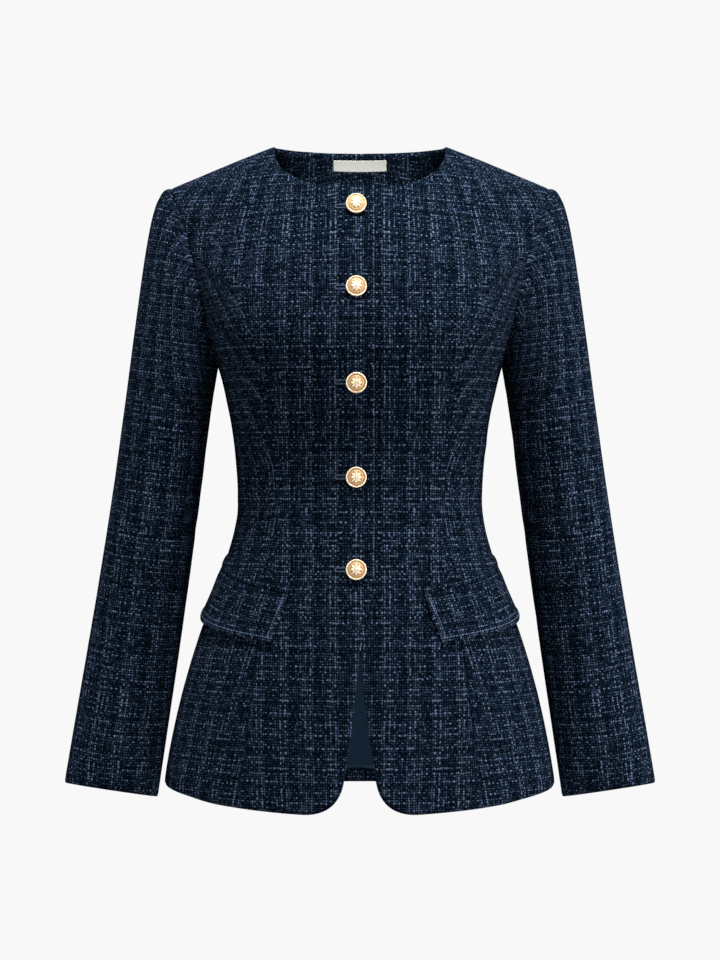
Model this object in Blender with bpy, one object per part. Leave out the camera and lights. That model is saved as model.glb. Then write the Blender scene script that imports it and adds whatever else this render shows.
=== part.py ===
"""Collarless tweed blazer, filled out as when worn, with each cut piece as its own solid.

The body is one smooth form, given by a table of sections. Every piece of cloth is a patch of that form
between its seam lines. Sizes are in millimetres and become metres when a mesh is made. The origin is midway
between the neck points of the shoulders, +Z is up, the front faces -Y and +X is the wearer's left.
"""

import math
from typing import NamedTuple

import bmesh
import bpy
import numpy as np
from mathutils import Matrix, Vector

MM = 0.001
EDGE_ANGLE = 50
NEARLY_ONE = 0.99999

# Cloth
CLOTH = 2.0
FLAP_CLOTH = 3.0
JET_CLOTH = 1.5
FACING_CLOTH = 1.5
LINING_CLOTH = 1.0
LABEL_CLOTH = 0.8
SEAM_GAP = 0.3
LABEL_GAP = 0.5
FRONT_LIFT = 2.7
LIFT_FULL_X = 18.0
LIFT_NONE_X = 52.0

# Neckline and shoulder
NECK_HALF_WIDTH = 85.5
FRONT_NECK_DROP = 50.0
NECK_SQUARENESS = 2.4
BACK_NECK_Z = 0.0
SHOULDER_TIP_X = 188.0

# Front edges and hem
FRONT_EXTENSION = 13.5
CUTAWAY_START_Z = -425.0
CUTAWAY_SLOPE = 0.146
HEM_CORNER = 34.0
SIDE_HEM_Z = -633.0
FRONT_HEM_DROP = 20.0
BACK_HEM_DROP = 16.0
HEM_POWER = 1.5

# Bust fullness that the princess seams shape
BUST_FULLNESS = 7.0
BUST_X = 92.0
BUST_Z = -200.0
BUST_REACH = 55.0

# Armhole
UNDERARM_Z = -216.0
ARMHOLE_JOIN_Z = -150.0
FRONT_NOTCH_Z = -112.0
BACK_NOTCH_Z = -118.0

# Shares of a panel's height that its hem and its top line shape
HEM_SHAPES_TO = 0.15
TOP_SHAPES_FROM = 0.6
UNDERARM_SHAPES_FROM = 0.4

# Points on the finely divided seam and edge lines
HEM_POINTS = 60
NECK_POINTS = 80
ARMHOLE_POINTS = 40
UNDERARM_POINTS = 24
CORNER_POINTS = 21

# Grid counts
NECK_COLUMNS = 6
SHOULDER_COLUMNS = 4
SIDE_COLUMNS = 8
CAP_ROWS = 5
SLEEVE_ROWS = 8
ARMHOLE_ROWS = 5
PANEL_ROW_HEIGHTS = (-631, -600, -558, -516, -474, -432, -392, -352, -312, -276, -244, -216, -190, -164, -138)
LEVEL_ROWS_BELOW_Z = -250.0
HEM_FACING_ROWS = 1
NECK_FACING_ROWS = 4

# Buttons
BUTTON_X = -3.5
BUTTON_HEIGHTS = (-69.0, -149.0, -240.0, -331.0, -420.0)
BUTTON_STAND = 1.1
SHANK_RADIUS = 1.4
SHANK_END = 1.1
BUTTON_SEGMENTS = 16
SLOT_LENGTH = 23.0
SLOT_HEIGHT = 3.6
SLOT_PAST_BUTTON = 2.4
SLOT_DEPTH = 12.0

# Button face as radius and height over its underside, from the rim to the middle of the dome
BUTTON_FACE = ((8.8, 0.0), (10.0, 0.9), (10.0, 1.9), (9.2, 2.7), (8.1, 2.2), (5.0, 3.4), (0.0, 3.9))

# Pocket
FLAP_FRONT_TOP = (60.8, -444.0)
FLAP_FRONT_BOTTOM = (77.0, -490.0)
FLAP_BACK_TOP = (1.2, -411.0)
FLAP_BACK_BOTTOM = (1.22, -464.0)
FLAP_REST = 0.95
FLAP_STANDS_OUT = 3.0
FLAP_BEND = 1.5
FLAP_COLUMNS = 7
FLAP_ROWS = 3
JET_HEIGHT = 7.0

# Label inside the back neck
LABEL_TOP_BELOW_EDGE = 6.0
LABEL_HEIGHT = 14.3
LABEL_COLUMNS = (-1.5, -1.0, 0.0, 1.0, 1.5)
LABEL_ROWS = 2

# How far rows near the shoulders stay level on each side of the centre, as a share of the half width
TILT_EASE = 0.2


class Section(NamedTuple):
    """One row of the body form. A squareness of 2 is an ellipse and more is boxier."""

    centre_z: float
    side_z: float
    half_width: float
    side_y: float
    front_depth: float
    back_depth: float
    squareness: float


BODY_FORM = (
    Section(-672, -672, 197.5, 0, 139, 124, 2.20),
    Section(-612, -612, 191.0, 0, 134, 122, 2.20),
    Section(-552, -552, 179.0, 0, 128, 118, 2.20),
    Section(-492, -492, 161.5, 0, 121, 112, 2.25),
    Section(-432, -432, 140.0, 0, 112, 102, 2.30),
    Section(-372, -372, 123.2, 0, 104, 91, 2.35),
    Section(-312, -312, 124.2, 0, 106, 89, 2.40),
    Section(-252, -252, 133.5, 0, 121, 97, 2.50),
    Section(-192, -194, 150.0, 0, 131, 104, 2.60),
    Section(-140, -155, 164.0, 0, 120, 105, 2.60),
    Section(-95, -128, 174.0, 1, 103, 98, 2.60),
    Section(-50, -98, 184.0, 3, 79, 84, 2.60),
    Section(-17, -74, 198.0, 5, 58, 68, 2.60),
    Section(6, -59, 209.0, 6, 35, 46, 2.60),
    Section(18, -54.5, 213.5, 6, 17, 23, 2.60),
    Section(23, -53, 215.0, 6, 0, 0, 2.60),
)
RIDGE = len(BODY_FORM) - 1


class SeamPoint(NamedTuple):
    """A place on a seam, by its height and its distance from the centre line."""

    z: float
    x: float


FRONT_SEAM = (
    SeamPoint(-672, 121.0),
    SeamPoint(-578, 109.5),
    SeamPoint(-495, 98.5),
    SeamPoint(-413, 83.0),
    SeamPoint(-360, 81.0),
    SeamPoint(-320, 85.0),
    SeamPoint(-286, 87.0),
    SeamPoint(-250, 91.5),
    SeamPoint(-190, 106.0),
    SeamPoint(-150, 127.0),
    SeamPoint(-112, 166.0),
)
BACK_SEAM = (
    SeamPoint(-672, 124.0),
    SeamPoint(-578, 113.0),
    SeamPoint(-495, 102.0),
    SeamPoint(-413, 87.0),
    SeamPoint(-360, 83.0),
    SeamPoint(-320, 88.0),
    SeamPoint(-250, 104.0),
    SeamPoint(-190, 124.0),
    SeamPoint(-150, 143.0),
    SeamPoint(-118, 168.0),
)
FRONT_ARMHOLE = (
    SeamPoint(-150, 157.0),
    SeamPoint(-136, 160.5),
    SeamPoint(-110, 166.5),
    SeamPoint(-84, 173.5),
    SeamPoint(-66, 180.0),
    SeamPoint(-51, 186.5),
    SeamPoint(-42, 188.5),
)
BACK_ARMHOLE = (
    SeamPoint(-150, 160.0),
    SeamPoint(-118, 168.0),
    SeamPoint(-84, 176.0),
    SeamPoint(-66, 182.0),
    SeamPoint(-51, 187.0),
    SeamPoint(-42, 188.5),
)


class SleeveRing(NamedTuple):
    """One ring of the sleeve, by its centre and its half sizes across and from front to back."""

    z: float
    x: float
    y: float
    half_width: float
    half_depth: float


SLEEVE_RINGS = (
    SleeveRing(-262, 192.0, 2, 43.0, 61),
    SleeveRing(-354, 204.5, 6, 43.6, 57),
    SleeveRing(-454, 219.0, 4, 44.8, 52),
    SleeveRing(-554, 234.0, -6, 46.0, 46),
    SleeveRing(-641, 247.0, -20, 46.8, 41),
)


class CapPull(NamedTuple):
    """How a line of the sleeve head leaves the armhole and joins the first ring."""

    outward: float
    upward: float
    leave: float
    arrive: float


CAP_TOP = CapPull(1.0, 0.05, 21.0, 185.0)
CAP_UNDERARM = CapPull(0.12, -1.0, 10.0, 22.0)
CAP_FULLNESS = 0.25


class Finish(NamedTuple):
    """Colour, roughness and metallic value of a material."""

    colour: tuple
    roughness: float
    metallic: float


TWEED = Finish((0.012, 0.018, 0.032, 1), 0.95, 0)
SATIN = Finish((0.010, 0.018, 0.030, 1), 0.45, 0)
LABEL_SATIN = Finish((0.62, 0.62, 0.59, 1), 0.60, 0)
GILT_BRASS = Finish((0.78, 0.56, 0.30, 1), 0.28, 1)


# Smooth tables


def smooth(places, values, at):
    """Values between table rows, on cubics whose slopes come from the neighbouring rows."""
    places = np.asarray(places, float)
    values = np.asarray(values, float)
    at = np.clip(at, places[0], places[-1])
    slopes = np.gradient(values, places, axis=0)
    row = np.clip(np.searchsorted(places, at, side="right") - 1, 0, len(places) - 2)
    width = places[row + 1] - places[row]
    f = (at - places[row]) / width
    if values.ndim > 1:
        width = width[..., None]
        f = f[..., None]
    start = (1 + 2 * f) * (1 - f) ** 2 * values[row] + f * (1 - f) ** 2 * width * slopes[row]
    end = f * f * (3 - 2 * f) * values[row + 1] + f * f * (f - 1) * width * slopes[row + 1]
    return start + end


def seam_x(seam, z):
    return smooth([p.z for p in seam], [p.x for p in seam], np.asarray(z, float))


def eased(f):
    f = np.clip(f, 0, 1)
    return f * f * (3 - 2 * f)


# Body form


def section(t):
    """The form's section at row t, with the rows past the shoulder ridge folded over it."""
    below = BODY_FORM[RIDGE - 1]
    folded = below._replace(front_depth=-below.front_depth, back_depth=-below.back_depth)
    table = np.array(BODY_FORM + (folded,))
    return smooth(np.arange(len(table)), table, np.asarray(t, float))


def tilt(k):
    """Share of the drop from centre to side at k of the half width."""
    ease = TILT_EASE
    return (np.sqrt(k * k + ease * ease) - ease) / (math.sqrt(1 + ease * ease) - ease)


def form(q, t):
    """A point of the form. q is 0 at centre front, 1 at the side and 2 at centre back; t counts rows."""
    q = np.asarray(q, float)
    t = np.asarray(t, float)
    over = t > RIDGE
    q = np.where(over, np.sign(q) * (2 - np.abs(q)), q)
    s = section(np.where(over, 2 * RIDGE - t, t))
    behind = np.abs(q) > 1
    angle = np.where(behind, 2 - np.abs(q), np.abs(q)) * math.pi / 2
    n = s[..., 6]
    sine = np.sin(angle)
    cosine = np.cos(angle)
    r = (np.abs(sine) ** n + cosine**n) ** (-1 / n)
    x = s[..., 2] * r * sine
    z = s[..., 0] + (s[..., 1] - s[..., 0]) * tilt(r * sine)
    bust = np.exp(-(((x - BUST_X) / BUST_REACH) ** 2) - ((z - BUST_Z) / BUST_REACH) ** 2)
    front = s[..., 3] - (s[..., 4] + BUST_FULLNESS * bust) * r * cosine
    y = np.where(behind, s[..., 3] + s[..., 5] * r * cosine, front)
    return np.stack([np.where(q < 0, -x, x), y, z], axis=-1)


def form_normal(q, t):
    """The outward direction of the form."""
    step = 1e-3
    across = form(q + step, t) - form(q - step, t)
    up = form(q, t + step) - form(q, t - step)
    normal = np.cross(across, up)
    return normal / np.linalg.norm(normal, axis=-1, keepdims=True)


def halved(test, low, high):
    """Where a rising test crosses zero between low and high, by halving."""
    for _ in range(50):
        middle = (low + high) / 2
        under = test(middle) < 0
        low = np.where(under, middle, low)
        high = np.where(under, high, middle)
    return (low + high) / 2


def chart_at_xz(x, z, behind=False):
    """(q, t) of the form at a distance from the centre line and a height."""
    x = np.asarray(x, float)
    z = np.asarray(z, float) + 0 * x

    def across(s):
        return np.clip(np.abs(x) / s[..., 2], 0, NEARLY_ONE)

    def above(t):
        s = section(t)
        return s[..., 0] + (s[..., 1] - s[..., 0]) * tilt(across(s)) - z

    t = halved(above, np.zeros_like(z), np.full_like(z, RIDGE))
    s = section(t)
    k = across(s)
    q = np.arctan2(k, (1 - k ** s[..., 6]) ** (1 / s[..., 6])) * 2 / math.pi
    q = 2 - q if behind else q * np.where(x < 0, -1, 1)
    return np.stack([q, t], axis=-1)


def chart_at_yz(y, z, behind=False):
    """(q, t) of the form at a depth and a height, for places near the side."""
    y = np.asarray(y, float)
    z = np.asarray(z, float) + 0 * y

    def along(s):
        depth = s[..., 5] if behind else s[..., 4]
        return np.clip(np.abs(y - s[..., 3]) / depth, 0, NEARLY_ONE)

    def above(t):
        s = section(t)
        k = (1 - along(s) ** s[..., 6]) ** (1 / s[..., 6])
        return s[..., 0] + (s[..., 1] - s[..., 0]) * tilt(k) - z

    t = halved(above, np.zeros_like(z), np.full_like(z, RIDGE - 1.0))
    s = section(t)
    c = along(s)
    q = np.arctan2((1 - c ** s[..., 6]) ** (1 / s[..., 6]), c) * 2 / math.pi
    return np.stack([2 - q if behind else q, t], axis=-1)


def spaced(chart, count):
    """A line of chart points shared out at even lengths over count steps."""
    solid = form(chart[:, 0], chart[:, 1])
    lengths = np.concatenate([[0], np.cumsum(np.linalg.norm(np.diff(solid, axis=0), axis=1))])
    at = np.linspace(0, lengths[-1], count + 1)
    return np.stack([np.interp(at, lengths, chart[:, i]) for i in range(2)], axis=-1)


# Seam and edge lines as chart points


def hem_z(q):
    side = np.abs(np.cos(np.asarray(q) * math.pi / 2)) ** HEM_POWER
    return SIDE_HEM_Z - np.where(np.abs(q) > 1, BACK_HEM_DROP, FRONT_HEM_DROP) * side


def hem_line(q_from, q_to):
    """The hem between two places round the body."""
    q = np.linspace(q_from, q_to, HEM_POINTS)
    top = np.zeros_like(q)

    def above(t):
        return form(q, t)[..., 2] - hem_z(q)

    return np.stack([q, halved(above, top, top + RIDGE / 2)], axis=-1)


def front_edge_x(z):
    """The front edge, past centre front above the cut-away and back from it below."""
    return -FRONT_EXTENSION + CUTAWAY_SLOPE * np.maximum(0, CUTAWAY_START_Z - np.asarray(z, float))


def front_corner():
    """The rounded lower corner of a front as x, z points, from the edge round to the hem."""
    bottom = float(hem_z(0.0))
    corner = np.array([front_edge_x(bottom), bottom])
    top = np.array([front_edge_x(bottom + HEM_CORNER), bottom + HEM_CORNER])
    end = corner + np.array([HEM_CORNER, 0])
    f = np.linspace(0, 1, CORNER_POINTS)[:, None]
    return (1 - f) ** 2 * top + 2 * f * (1 - f) * corner + f * f * end


def front_neck_z(x):
    share = np.clip(np.abs(x) / NECK_HALF_WIDTH, 0, 1)
    return -FRONT_NECK_DROP * (1 - share**NECK_SQUARENESS) ** (1 / NECK_SQUARENESS)


def ridge_line(count):
    """The shoulder seam from the neck point to the tip."""
    x = np.linspace(NECK_HALF_WIDTH, SHOULDER_TIP_X, count + 1)
    k = x / BODY_FORM[RIDGE].half_width
    n = BODY_FORM[RIDGE].squareness
    q = np.arctan2(k, (1 - k**n) ** (1 / n)) * 2 / math.pi
    return np.stack([q, np.full_like(q, RIDGE)], axis=-1)


def top_line(behind):
    """Neckline and shoulder seam of a front or half back, from the centre outwards."""
    start = 0.0 if behind else -FRONT_EXTENSION
    f = np.linspace(0, 1, NECK_POINTS)
    x = start + (NECK_HALF_WIDTH - start) * np.sin(f * math.pi / 2)
    z = np.full_like(x, BACK_NECK_Z) if behind else front_neck_z(x)
    neck = chart_at_xz(x, z, behind)
    shoulder = ridge_line(SHOULDER_COLUMNS)
    if behind:
        shoulder[:, 0] = 2 - shoulder[:, 0]
    neck[-1] = shoulder[0]
    return np.concatenate([spaced(neck, NECK_COLUMNS), shoulder[1:]])


def armhole_side(behind):
    """Half the armhole from the tip down to the underarm, as dense chart points."""
    table = BACK_ARMHOLE if behind else FRONT_ARMHOLE
    z = np.linspace(table[-1].z, ARMHOLE_JOIN_Z, ARMHOLE_POINTS)
    upper = chart_at_xz(seam_x(table, z), z, behind)
    tip = ridge_line(SHOULDER_COLUMNS)[-1]
    upper[0] = (2 - tip[0], tip[1]) if behind else tip
    join = form(upper[-1, 0], upper[-1, 1])
    angle = np.linspace(0, math.pi / 2, UNDERARM_POINTS)[1:]
    y = join[1] * np.cos(angle)
    lower_z = ARMHOLE_JOIN_Z + (UNDERARM_Z - ARMHOLE_JOIN_Z) * np.sin(angle)
    return np.concatenate([upper, chart_at_yz(y, lower_z, behind)])


def line_at_heights(chart, heights):
    """Places on a rising or falling chart line at the given heights."""
    z = form(chart[:, 0], chart[:, 1])[:, 2]
    order = np.argsort(z)
    return np.stack([np.interp(heights, z[order], chart[order, i]) for i in range(2)], axis=-1)


def side_line(behind):
    """A panel's outer edge: its seam from hem to notch, then the armhole up to the tip."""
    seam = BACK_SEAM if behind else FRONT_SEAM
    notch_z = BACK_NOTCH_Z if behind else FRONT_NOTCH_Z
    z = np.array(PANEL_ROW_HEIGHTS, float)
    low = chart_at_xz(seam[1].x, seam[1].z, behind)
    hem = float(hem_z(low[0]))
    armhole = armhole_side(behind)
    rise_z = np.linspace(notch_z, FRONT_ARMHOLE[-1].z, ARMHOLE_ROWS + 1)
    rise = line_at_heights(armhole[:ARMHOLE_POINTS], rise_z)
    rise[-1] = armhole[0]
    z = np.concatenate([[hem], z])
    return np.concatenate([chart_at_xz(seam_x(seam, z), z, behind), rise])


# Patches of the form


def patch(left, right, bottom, top, top_shapes_from=TOP_SHAPES_FROM):
    """A chart grid that fills four edge lines, with rows from bottom to top.

    The bottom and top lines shape only the rows near them, so the rows between stay level.
    """
    v = (right[:, 1] - right[0, 1]) / (right[-1, 1] - right[0, 1])
    v = v[:, None, None]
    u = np.linspace(0, 1, len(bottom))[None, :, None]
    columns = (1 - u) * left[:, None] + u * right[:, None]
    hem_shape = bottom - (1 - u) * bottom[0] - u * bottom[-1]
    top_shape = top - (1 - u) * top[0] - u * top[-1]
    near_hem = 1 - eased(v / HEM_SHAPES_TO)
    near_top = eased((v - top_shapes_from) / (1 - top_shapes_from))
    return columns + near_hem * hem_shape + near_top * top_shape


def level_rows(right, top_z):
    """Heights down a centre edge that keep the rows level below the bust."""
    z = form(right[:, 0], right[:, 1])[:, 2]
    share = (z - LEVEL_ROWS_BELOW_Z) / (z[-1] - LEVEL_ROWS_BELOW_Z)
    return np.where(z < LEVEL_ROWS_BELOW_Z, z, LEVEL_ROWS_BELOW_Z + share * (top_z - LEVEL_ROWS_BELOW_Z))


def front_chart():
    right = side_line(False)
    top = top_line(False)
    corner = front_corner()
    middle = len(corner) // 2
    heights = level_rows(right, float(form(*top[0])[2]))
    heights[0] = corner[middle, 1]
    edge = corner[: middle + 1][::-1]
    x = np.where(heights < edge[-1, 1], np.interp(heights, edge[:, 1], edge[:, 0]), front_edge_x(heights))
    left = chart_at_xz(x, heights)
    left[-1] = top[0]
    round_end = chart_at_xz(corner[middle:, 0], corner[middle:, 1])
    bottom = spaced(np.concatenate([round_end, hem_line(round_end[-1, 0], right[0, 0])[1:]]), len(top) - 1)
    return patch(left, right, bottom, top)


def back_chart():
    """The half back from centre back to its seam."""
    right = side_line(True)
    top = top_line(True)
    heights = level_rows(right, BACK_NECK_Z)
    heights[0] = hem_z(2.0)
    left = chart_at_xz(np.zeros_like(heights), heights, True)
    bottom = spaced(hem_line(2.0, right[0, 0]), len(top) - 1)
    return patch(left, right, bottom, top)


def side_chart():
    rows = len(PANEL_ROW_HEIGHTS) + 2
    left = side_line(False)[:rows]
    right = side_line(True)[:rows]
    front = armhole_side(False)
    back = armhole_side(True)
    front_z = form(front[:, 0], front[:, 1])[:, 2]
    back_z = form(back[:, 0], back[:, 1])[:, 2]
    down = np.concatenate([left[-1:], front[front_z < FRONT_NOTCH_Z]])
    up = np.concatenate([right[-1:], back[back_z < BACK_NOTCH_Z]])
    half = SIDE_COLUMNS // 2
    top = np.concatenate([spaced(down, half), spaced(up[::-1], half)[1:]])
    bottom = spaced(hem_line(left[0, 0], right[0, 0]), SIDE_COLUMNS)
    return patch(left, right, bottom, top, UNDERARM_SHAPES_FROM)


# Walls


def pulled_in(grid, edges, gap):
    """The grid with its named edges moved in along the cloth, which leaves the seam gap."""
    grid = grid.copy()
    views = {"left": (0, 1, 1), "right": (-1, -2, 1), "bottom": (0, 1, 0), "top": (-1, -2, 0)}
    for edge in edges:
        outer, inner, axis = views[edge]
        place = [slice(None)] * 2
        place[axis] = outer
        beside = [slice(None)] * 2
        beside[axis] = inner
        step = grid[tuple(beside)] - grid[tuple(place)]
        grid[tuple(place)] += gap * step / np.linalg.norm(step, axis=-1, keepdims=True)
    return grid


def wall_mesh(name, outer, inner, closed=False, mirrored=False):
    """A closed wall between two point grids. A closed grid joins its last column to its first.

    Both faces split their cells along the same diagonal, so that pieces laid on each other stay parallel.
    """
    rows, columns = outer.shape[:2]
    points = np.concatenate([outer.reshape(-1, 3), inner.reshape(-1, 3)]) * MM
    if mirrored:
        points = points * (-1, 1, 1)
    second = rows * columns

    def at(row, column, layer):
        return layer * second + row * columns + column % columns

    faces = []
    last = columns if closed else columns - 1
    for row in range(rows - 1):
        for column in range(last):
            low, low_next = at(row, column, 0), at(row, column + 1, 0)
            high, high_next = at(row + 1, column, 0), at(row + 1, column + 1, 0)
            for half in ((low, low_next, high_next), (low, high_next, high)):
                faces.append(half)
                faces.append([index + second for index in reversed(half)])
    for column in range(last):
        faces.append([at(0, column, 1), at(0, column + 1, 1), at(0, column + 1, 0), at(0, column, 0)])
        faces.append([at(rows - 1, column, 0), at(rows - 1, column + 1, 0)]
                     + [at(rows - 1, column + 1, 1), at(rows - 1, column, 1)])
    if not closed:
        for row in range(rows - 1):
            end = columns - 1
            faces.append([at(row, 0, 0), at(row + 1, 0, 0), at(row + 1, 0, 1), at(row, 0, 1)])
            faces.append([at(row, end, 1), at(row + 1, end, 1), at(row + 1, end, 0), at(row, end, 0)])
    if mirrored:
        faces = [face[::-1] for face in faces]
    mesh = bpy.data.meshes.new(name)
    mesh.from_pydata(points.tolist(), [], faces)
    return mesh


def add_object(name, mesh, finish):
    """An object with its own material, smooth except at its edges."""
    material = bpy.data.materials.new(name)
    material.use_nodes = True
    shader = material.node_tree.nodes["Principled BSDF"]
    shader.inputs["Base Color"].default_value = finish.colour
    shader.inputs["Roughness"].default_value = finish.roughness
    shader.inputs["Metallic"].default_value = finish.metallic
    mesh.materials.append(material)
    mesh.shade_smooth()
    mesh.set_sharp_from_angle(angle=math.radians(EDGE_ANGLE))
    thing = bpy.data.objects.new(name, mesh)
    bpy.context.scene.collection.objects.link(thing)
    return thing


def grid_on_form(chart, lift=0.0):
    """Points and outward directions of a chart grid, raised off the form by lift."""
    normal = form_normal(chart[..., 0], chart[..., 1])
    lift = np.asarray(lift)[..., None]
    return form(chart[..., 0], chart[..., 1]) + normal * lift, normal


def cloth(name, chart, finish, thickness=CLOTH, lift=0.0, seams=(), mirrored=False):
    """A piece of cloth whose outer face lies on the form, with its seam edges set back."""
    outer, normal = grid_on_form(chart, lift)
    outer = pulled_in(outer, seams, SEAM_GAP / 2)
    inner = outer - normal * thickness
    return add_object(name, wall_mesh(name, outer, inner, mirrored=mirrored), finish)


# Body pieces


def overlap_lift(chart):
    """How far the overlapping front stands off the other one."""
    x = form(chart[..., 0], chart[..., 1])[..., 0]
    return FRONT_LIFT * (1 - eased((x - LIFT_FULL_X) / (LIFT_NONE_X - LIFT_FULL_X)))


def button_frame(z):
    """A button's place on the form: X along the buttonhole and Z out of the cloth."""
    q, t = chart_at_xz(BUTTON_X, z)
    out = Vector(form_normal(q, t))
    across = (Vector((1, 0, 0)) - out * out.x).normalized()
    frame = Matrix((across, out.cross(across), out)).transposed().to_4x4()
    frame.translation = Vector(form(q, t)) * MM
    return frame


def add_buttonhole(front, number, z):
    """A slot through the front that its button's shank passes."""
    slot = bmesh.new()
    bmesh.ops.create_cube(slot, size=MM)
    size = Matrix.Diagonal((SLOT_LENGTH, SLOT_HEIGHT, SLOT_DEPTH, 1))
    aside = Matrix.Translation(((SLOT_PAST_BUTTON - SLOT_LENGTH / 2) * MM, 0, 0))
    bmesh.ops.transform(slot, matrix=button_frame(z) @ aside @ size, verts=slot.verts)
    mesh = bpy.data.meshes.new(f"slot_{number}")
    slot.to_mesh(mesh)
    slot.free()
    cutter = bpy.data.objects.new(f"slot_{number}", mesh)
    bpy.context.scene.collection.objects.link(cutter)
    cutter.hide_render = True
    cutter.display_type = "WIRE"
    cut = front.modifiers.new(f"buttonhole_{number}", "BOOLEAN")
    cut.operation = "DIFFERENCE"
    cut.object = cutter


def add_fronts():
    chart = front_chart()
    seams = ("right", "top")
    cloth("front_left", chart, TWEED, seams=seams)
    right = cloth("front_right", chart, TWEED, lift=overlap_lift(chart), seams=seams, mirrored=True)
    for number, z in enumerate(BUTTON_HEIGHTS, 1):
        add_buttonhole(right, number, z)


def add_sides():
    chart = side_chart()
    for name, mirrored in (("side_left", False), ("side_right", True)):
        cloth(name, chart, TWEED, seams=("left", "right", "top"), mirrored=mirrored)


def back_grid():
    """Points and outward directions of the whole back, from the wearer's left seam to the right."""
    half, half_normal = grid_on_form(back_chart())
    flip = np.array((-1, 1, 1))
    points = np.concatenate([half[:, ::-1], half[:, 1:] * flip], axis=1)
    normal = np.concatenate([half_normal[:, ::-1], half_normal[:, 1:] * flip], axis=1)
    return points, normal


def inner_skin(name, points, normal, finish, thickness):
    """A skin on the inner face of the back, a seam gap away from it and from its neighbours."""
    outer = pulled_in(points - normal * (CLOTH + SEAM_GAP), ("left", "right", "bottom", "top"), SEAM_GAP / 2)
    inner = outer - normal * thickness
    add_object(name, wall_mesh(name, outer, inner), finish)
    return inner


def add_back():
    points, normal = back_grid()
    outer = pulled_in(points, ("left", "right", "top"), SEAM_GAP / 2)
    add_object("back", wall_mesh("back", outer, outer - normal * CLOTH), TWEED)
    hem = slice(0, HEM_FACING_ROWS + 1)
    middle = slice(HEM_FACING_ROWS, len(points) - NECK_FACING_ROWS)
    neck = slice(len(points) - NECK_FACING_ROWS - 1, len(points))
    within = slice(SHOULDER_COLUMNS, points.shape[1] - SHOULDER_COLUMNS)
    inner_skin("back_hem_facing", points[hem], normal[hem], TWEED, FACING_CLOTH)
    inner_skin("back_lining", points[middle], normal[middle], SATIN, LINING_CLOTH)
    facing_normal = normal[neck, within]
    facing = inner_skin("back_neck_facing", points[neck, within], facing_normal, TWEED, FACING_CLOTH)
    add_label(facing, facing_normal)


def add_label(facing, normal):
    """A woven label on the neck facing at centre back, placed by the facing's columns."""
    centre = facing.shape[1] // 2
    rows = []
    directions = []
    for place in LABEL_COLUMNS:
        column = centre + math.floor(place)
        share = place - math.floor(place)
        line = (1 - share) * facing[::-1, column] + share * facing[::-1, column + 1]
        out = (1 - share) * normal[::-1, column] + share * normal[::-1, column + 1]
        down = np.concatenate([[0], np.cumsum(np.linalg.norm(np.diff(line, axis=0), axis=1))])
        at = LABEL_TOP_BELOW_EDGE + LABEL_HEIGHT * np.linspace(1, 0, LABEL_ROWS + 1)
        rows.append([[np.interp(d, down, line[:, i]) for i in range(3)] for d in at])
        directions.append([[np.interp(d, down, out[:, i]) for i in range(3)] for d in at])
    outward = np.array(directions).transpose(1, 0, 2)
    outer = np.array(rows).transpose(1, 0, 2) - outward * LABEL_GAP
    add_object("label", wall_mesh("label", outer, outer - outward * LABEL_CLOTH), LABEL_SATIN)


# Sleeves


def armhole_loop():
    """The armhole from the tip down the front, under the arm and up the back."""
    front = side_line(False)
    back = side_line(True)
    notch = len(PANEL_ROW_HEIGHTS) + 1
    chart = np.concatenate([front[:notch:-1], side_chart()[-1], back[notch + 1 : -1]])
    return form(chart[:, 0], chart[:, 1])


def round_angles(loop):
    """Each armhole point's angle round the sleeve: 0 on top, a half turn under the arm."""
    steps = np.linalg.norm(np.diff(np.concatenate([loop, loop[:1]]), axis=0), axis=1)
    lengths = np.concatenate([[0], np.cumsum(steps)])
    under = ARMHOLE_ROWS + SIDE_COLUMNS // 2
    stops = [0, lengths[under], lengths[-1]]
    return np.interp(lengths[:-1], stops, [0, math.pi, 2 * math.pi])


def sleeve_ring(z, angles):
    """A ring of the sleeve square to its axis, and the axis upwards."""
    heights = [ring.z for ring in reversed(SLEEVE_RINGS)]
    table = np.array(SLEEVE_RINGS[::-1])
    ring = smooth(heights, table, np.array(z, float))
    slope = (smooth(heights, table, np.array(z + 1.0)) - smooth(heights, table, np.array(z - 1.0)))[[1, 2, 0]]
    axis = slope / np.linalg.norm(slope)
    across = np.array((1.0, 0, 0)) - axis * axis[0]
    across = across / np.linalg.norm(across)
    forward = np.cross(across, axis)
    wide = np.cos(angles)[:, None] * across * ring[3]
    return ring[[1, 2, 0]] + wide + np.sin(angles)[:, None] * forward * ring[4], axis


def sleeve_grid():
    """Rows of the sleeve from the armhole to the cuff."""
    loop = armhole_loop()
    angles = round_angles(loop)
    first, axis = sleeve_ring(SLEEVE_RINGS[0].z, angles)
    low = ((1 - np.cos(angles)) / 2)[:, None]
    pull = (1 - low) * np.array(CAP_TOP) + low * np.array(CAP_UNDERARM)
    leave = np.stack([pull[:, 0], -CAP_FULLNESS * np.sin(angles), pull[:, 1]], axis=-1)
    leave = leave / np.linalg.norm(leave, axis=-1, keepdims=True)
    start = loop + leave * SEAM_GAP / 2
    second = start + leave * pull[:, 2:3]
    third = first + axis * pull[:, 3:4]
    rows = []
    for f in np.linspace(0, 1, CAP_ROWS + 1):
        near = (1 - f) ** 3 * start + 3 * f * (1 - f) ** 2 * second
        rows.append(near + 3 * f * f * (1 - f) * third + f**3 * first)
    for z in np.linspace(SLEEVE_RINGS[0].z, SLEEVE_RINGS[-1].z, SLEEVE_ROWS + 1)[1:]:
        rows.append(sleeve_ring(z, angles)[0])
    return np.array(rows)


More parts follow.
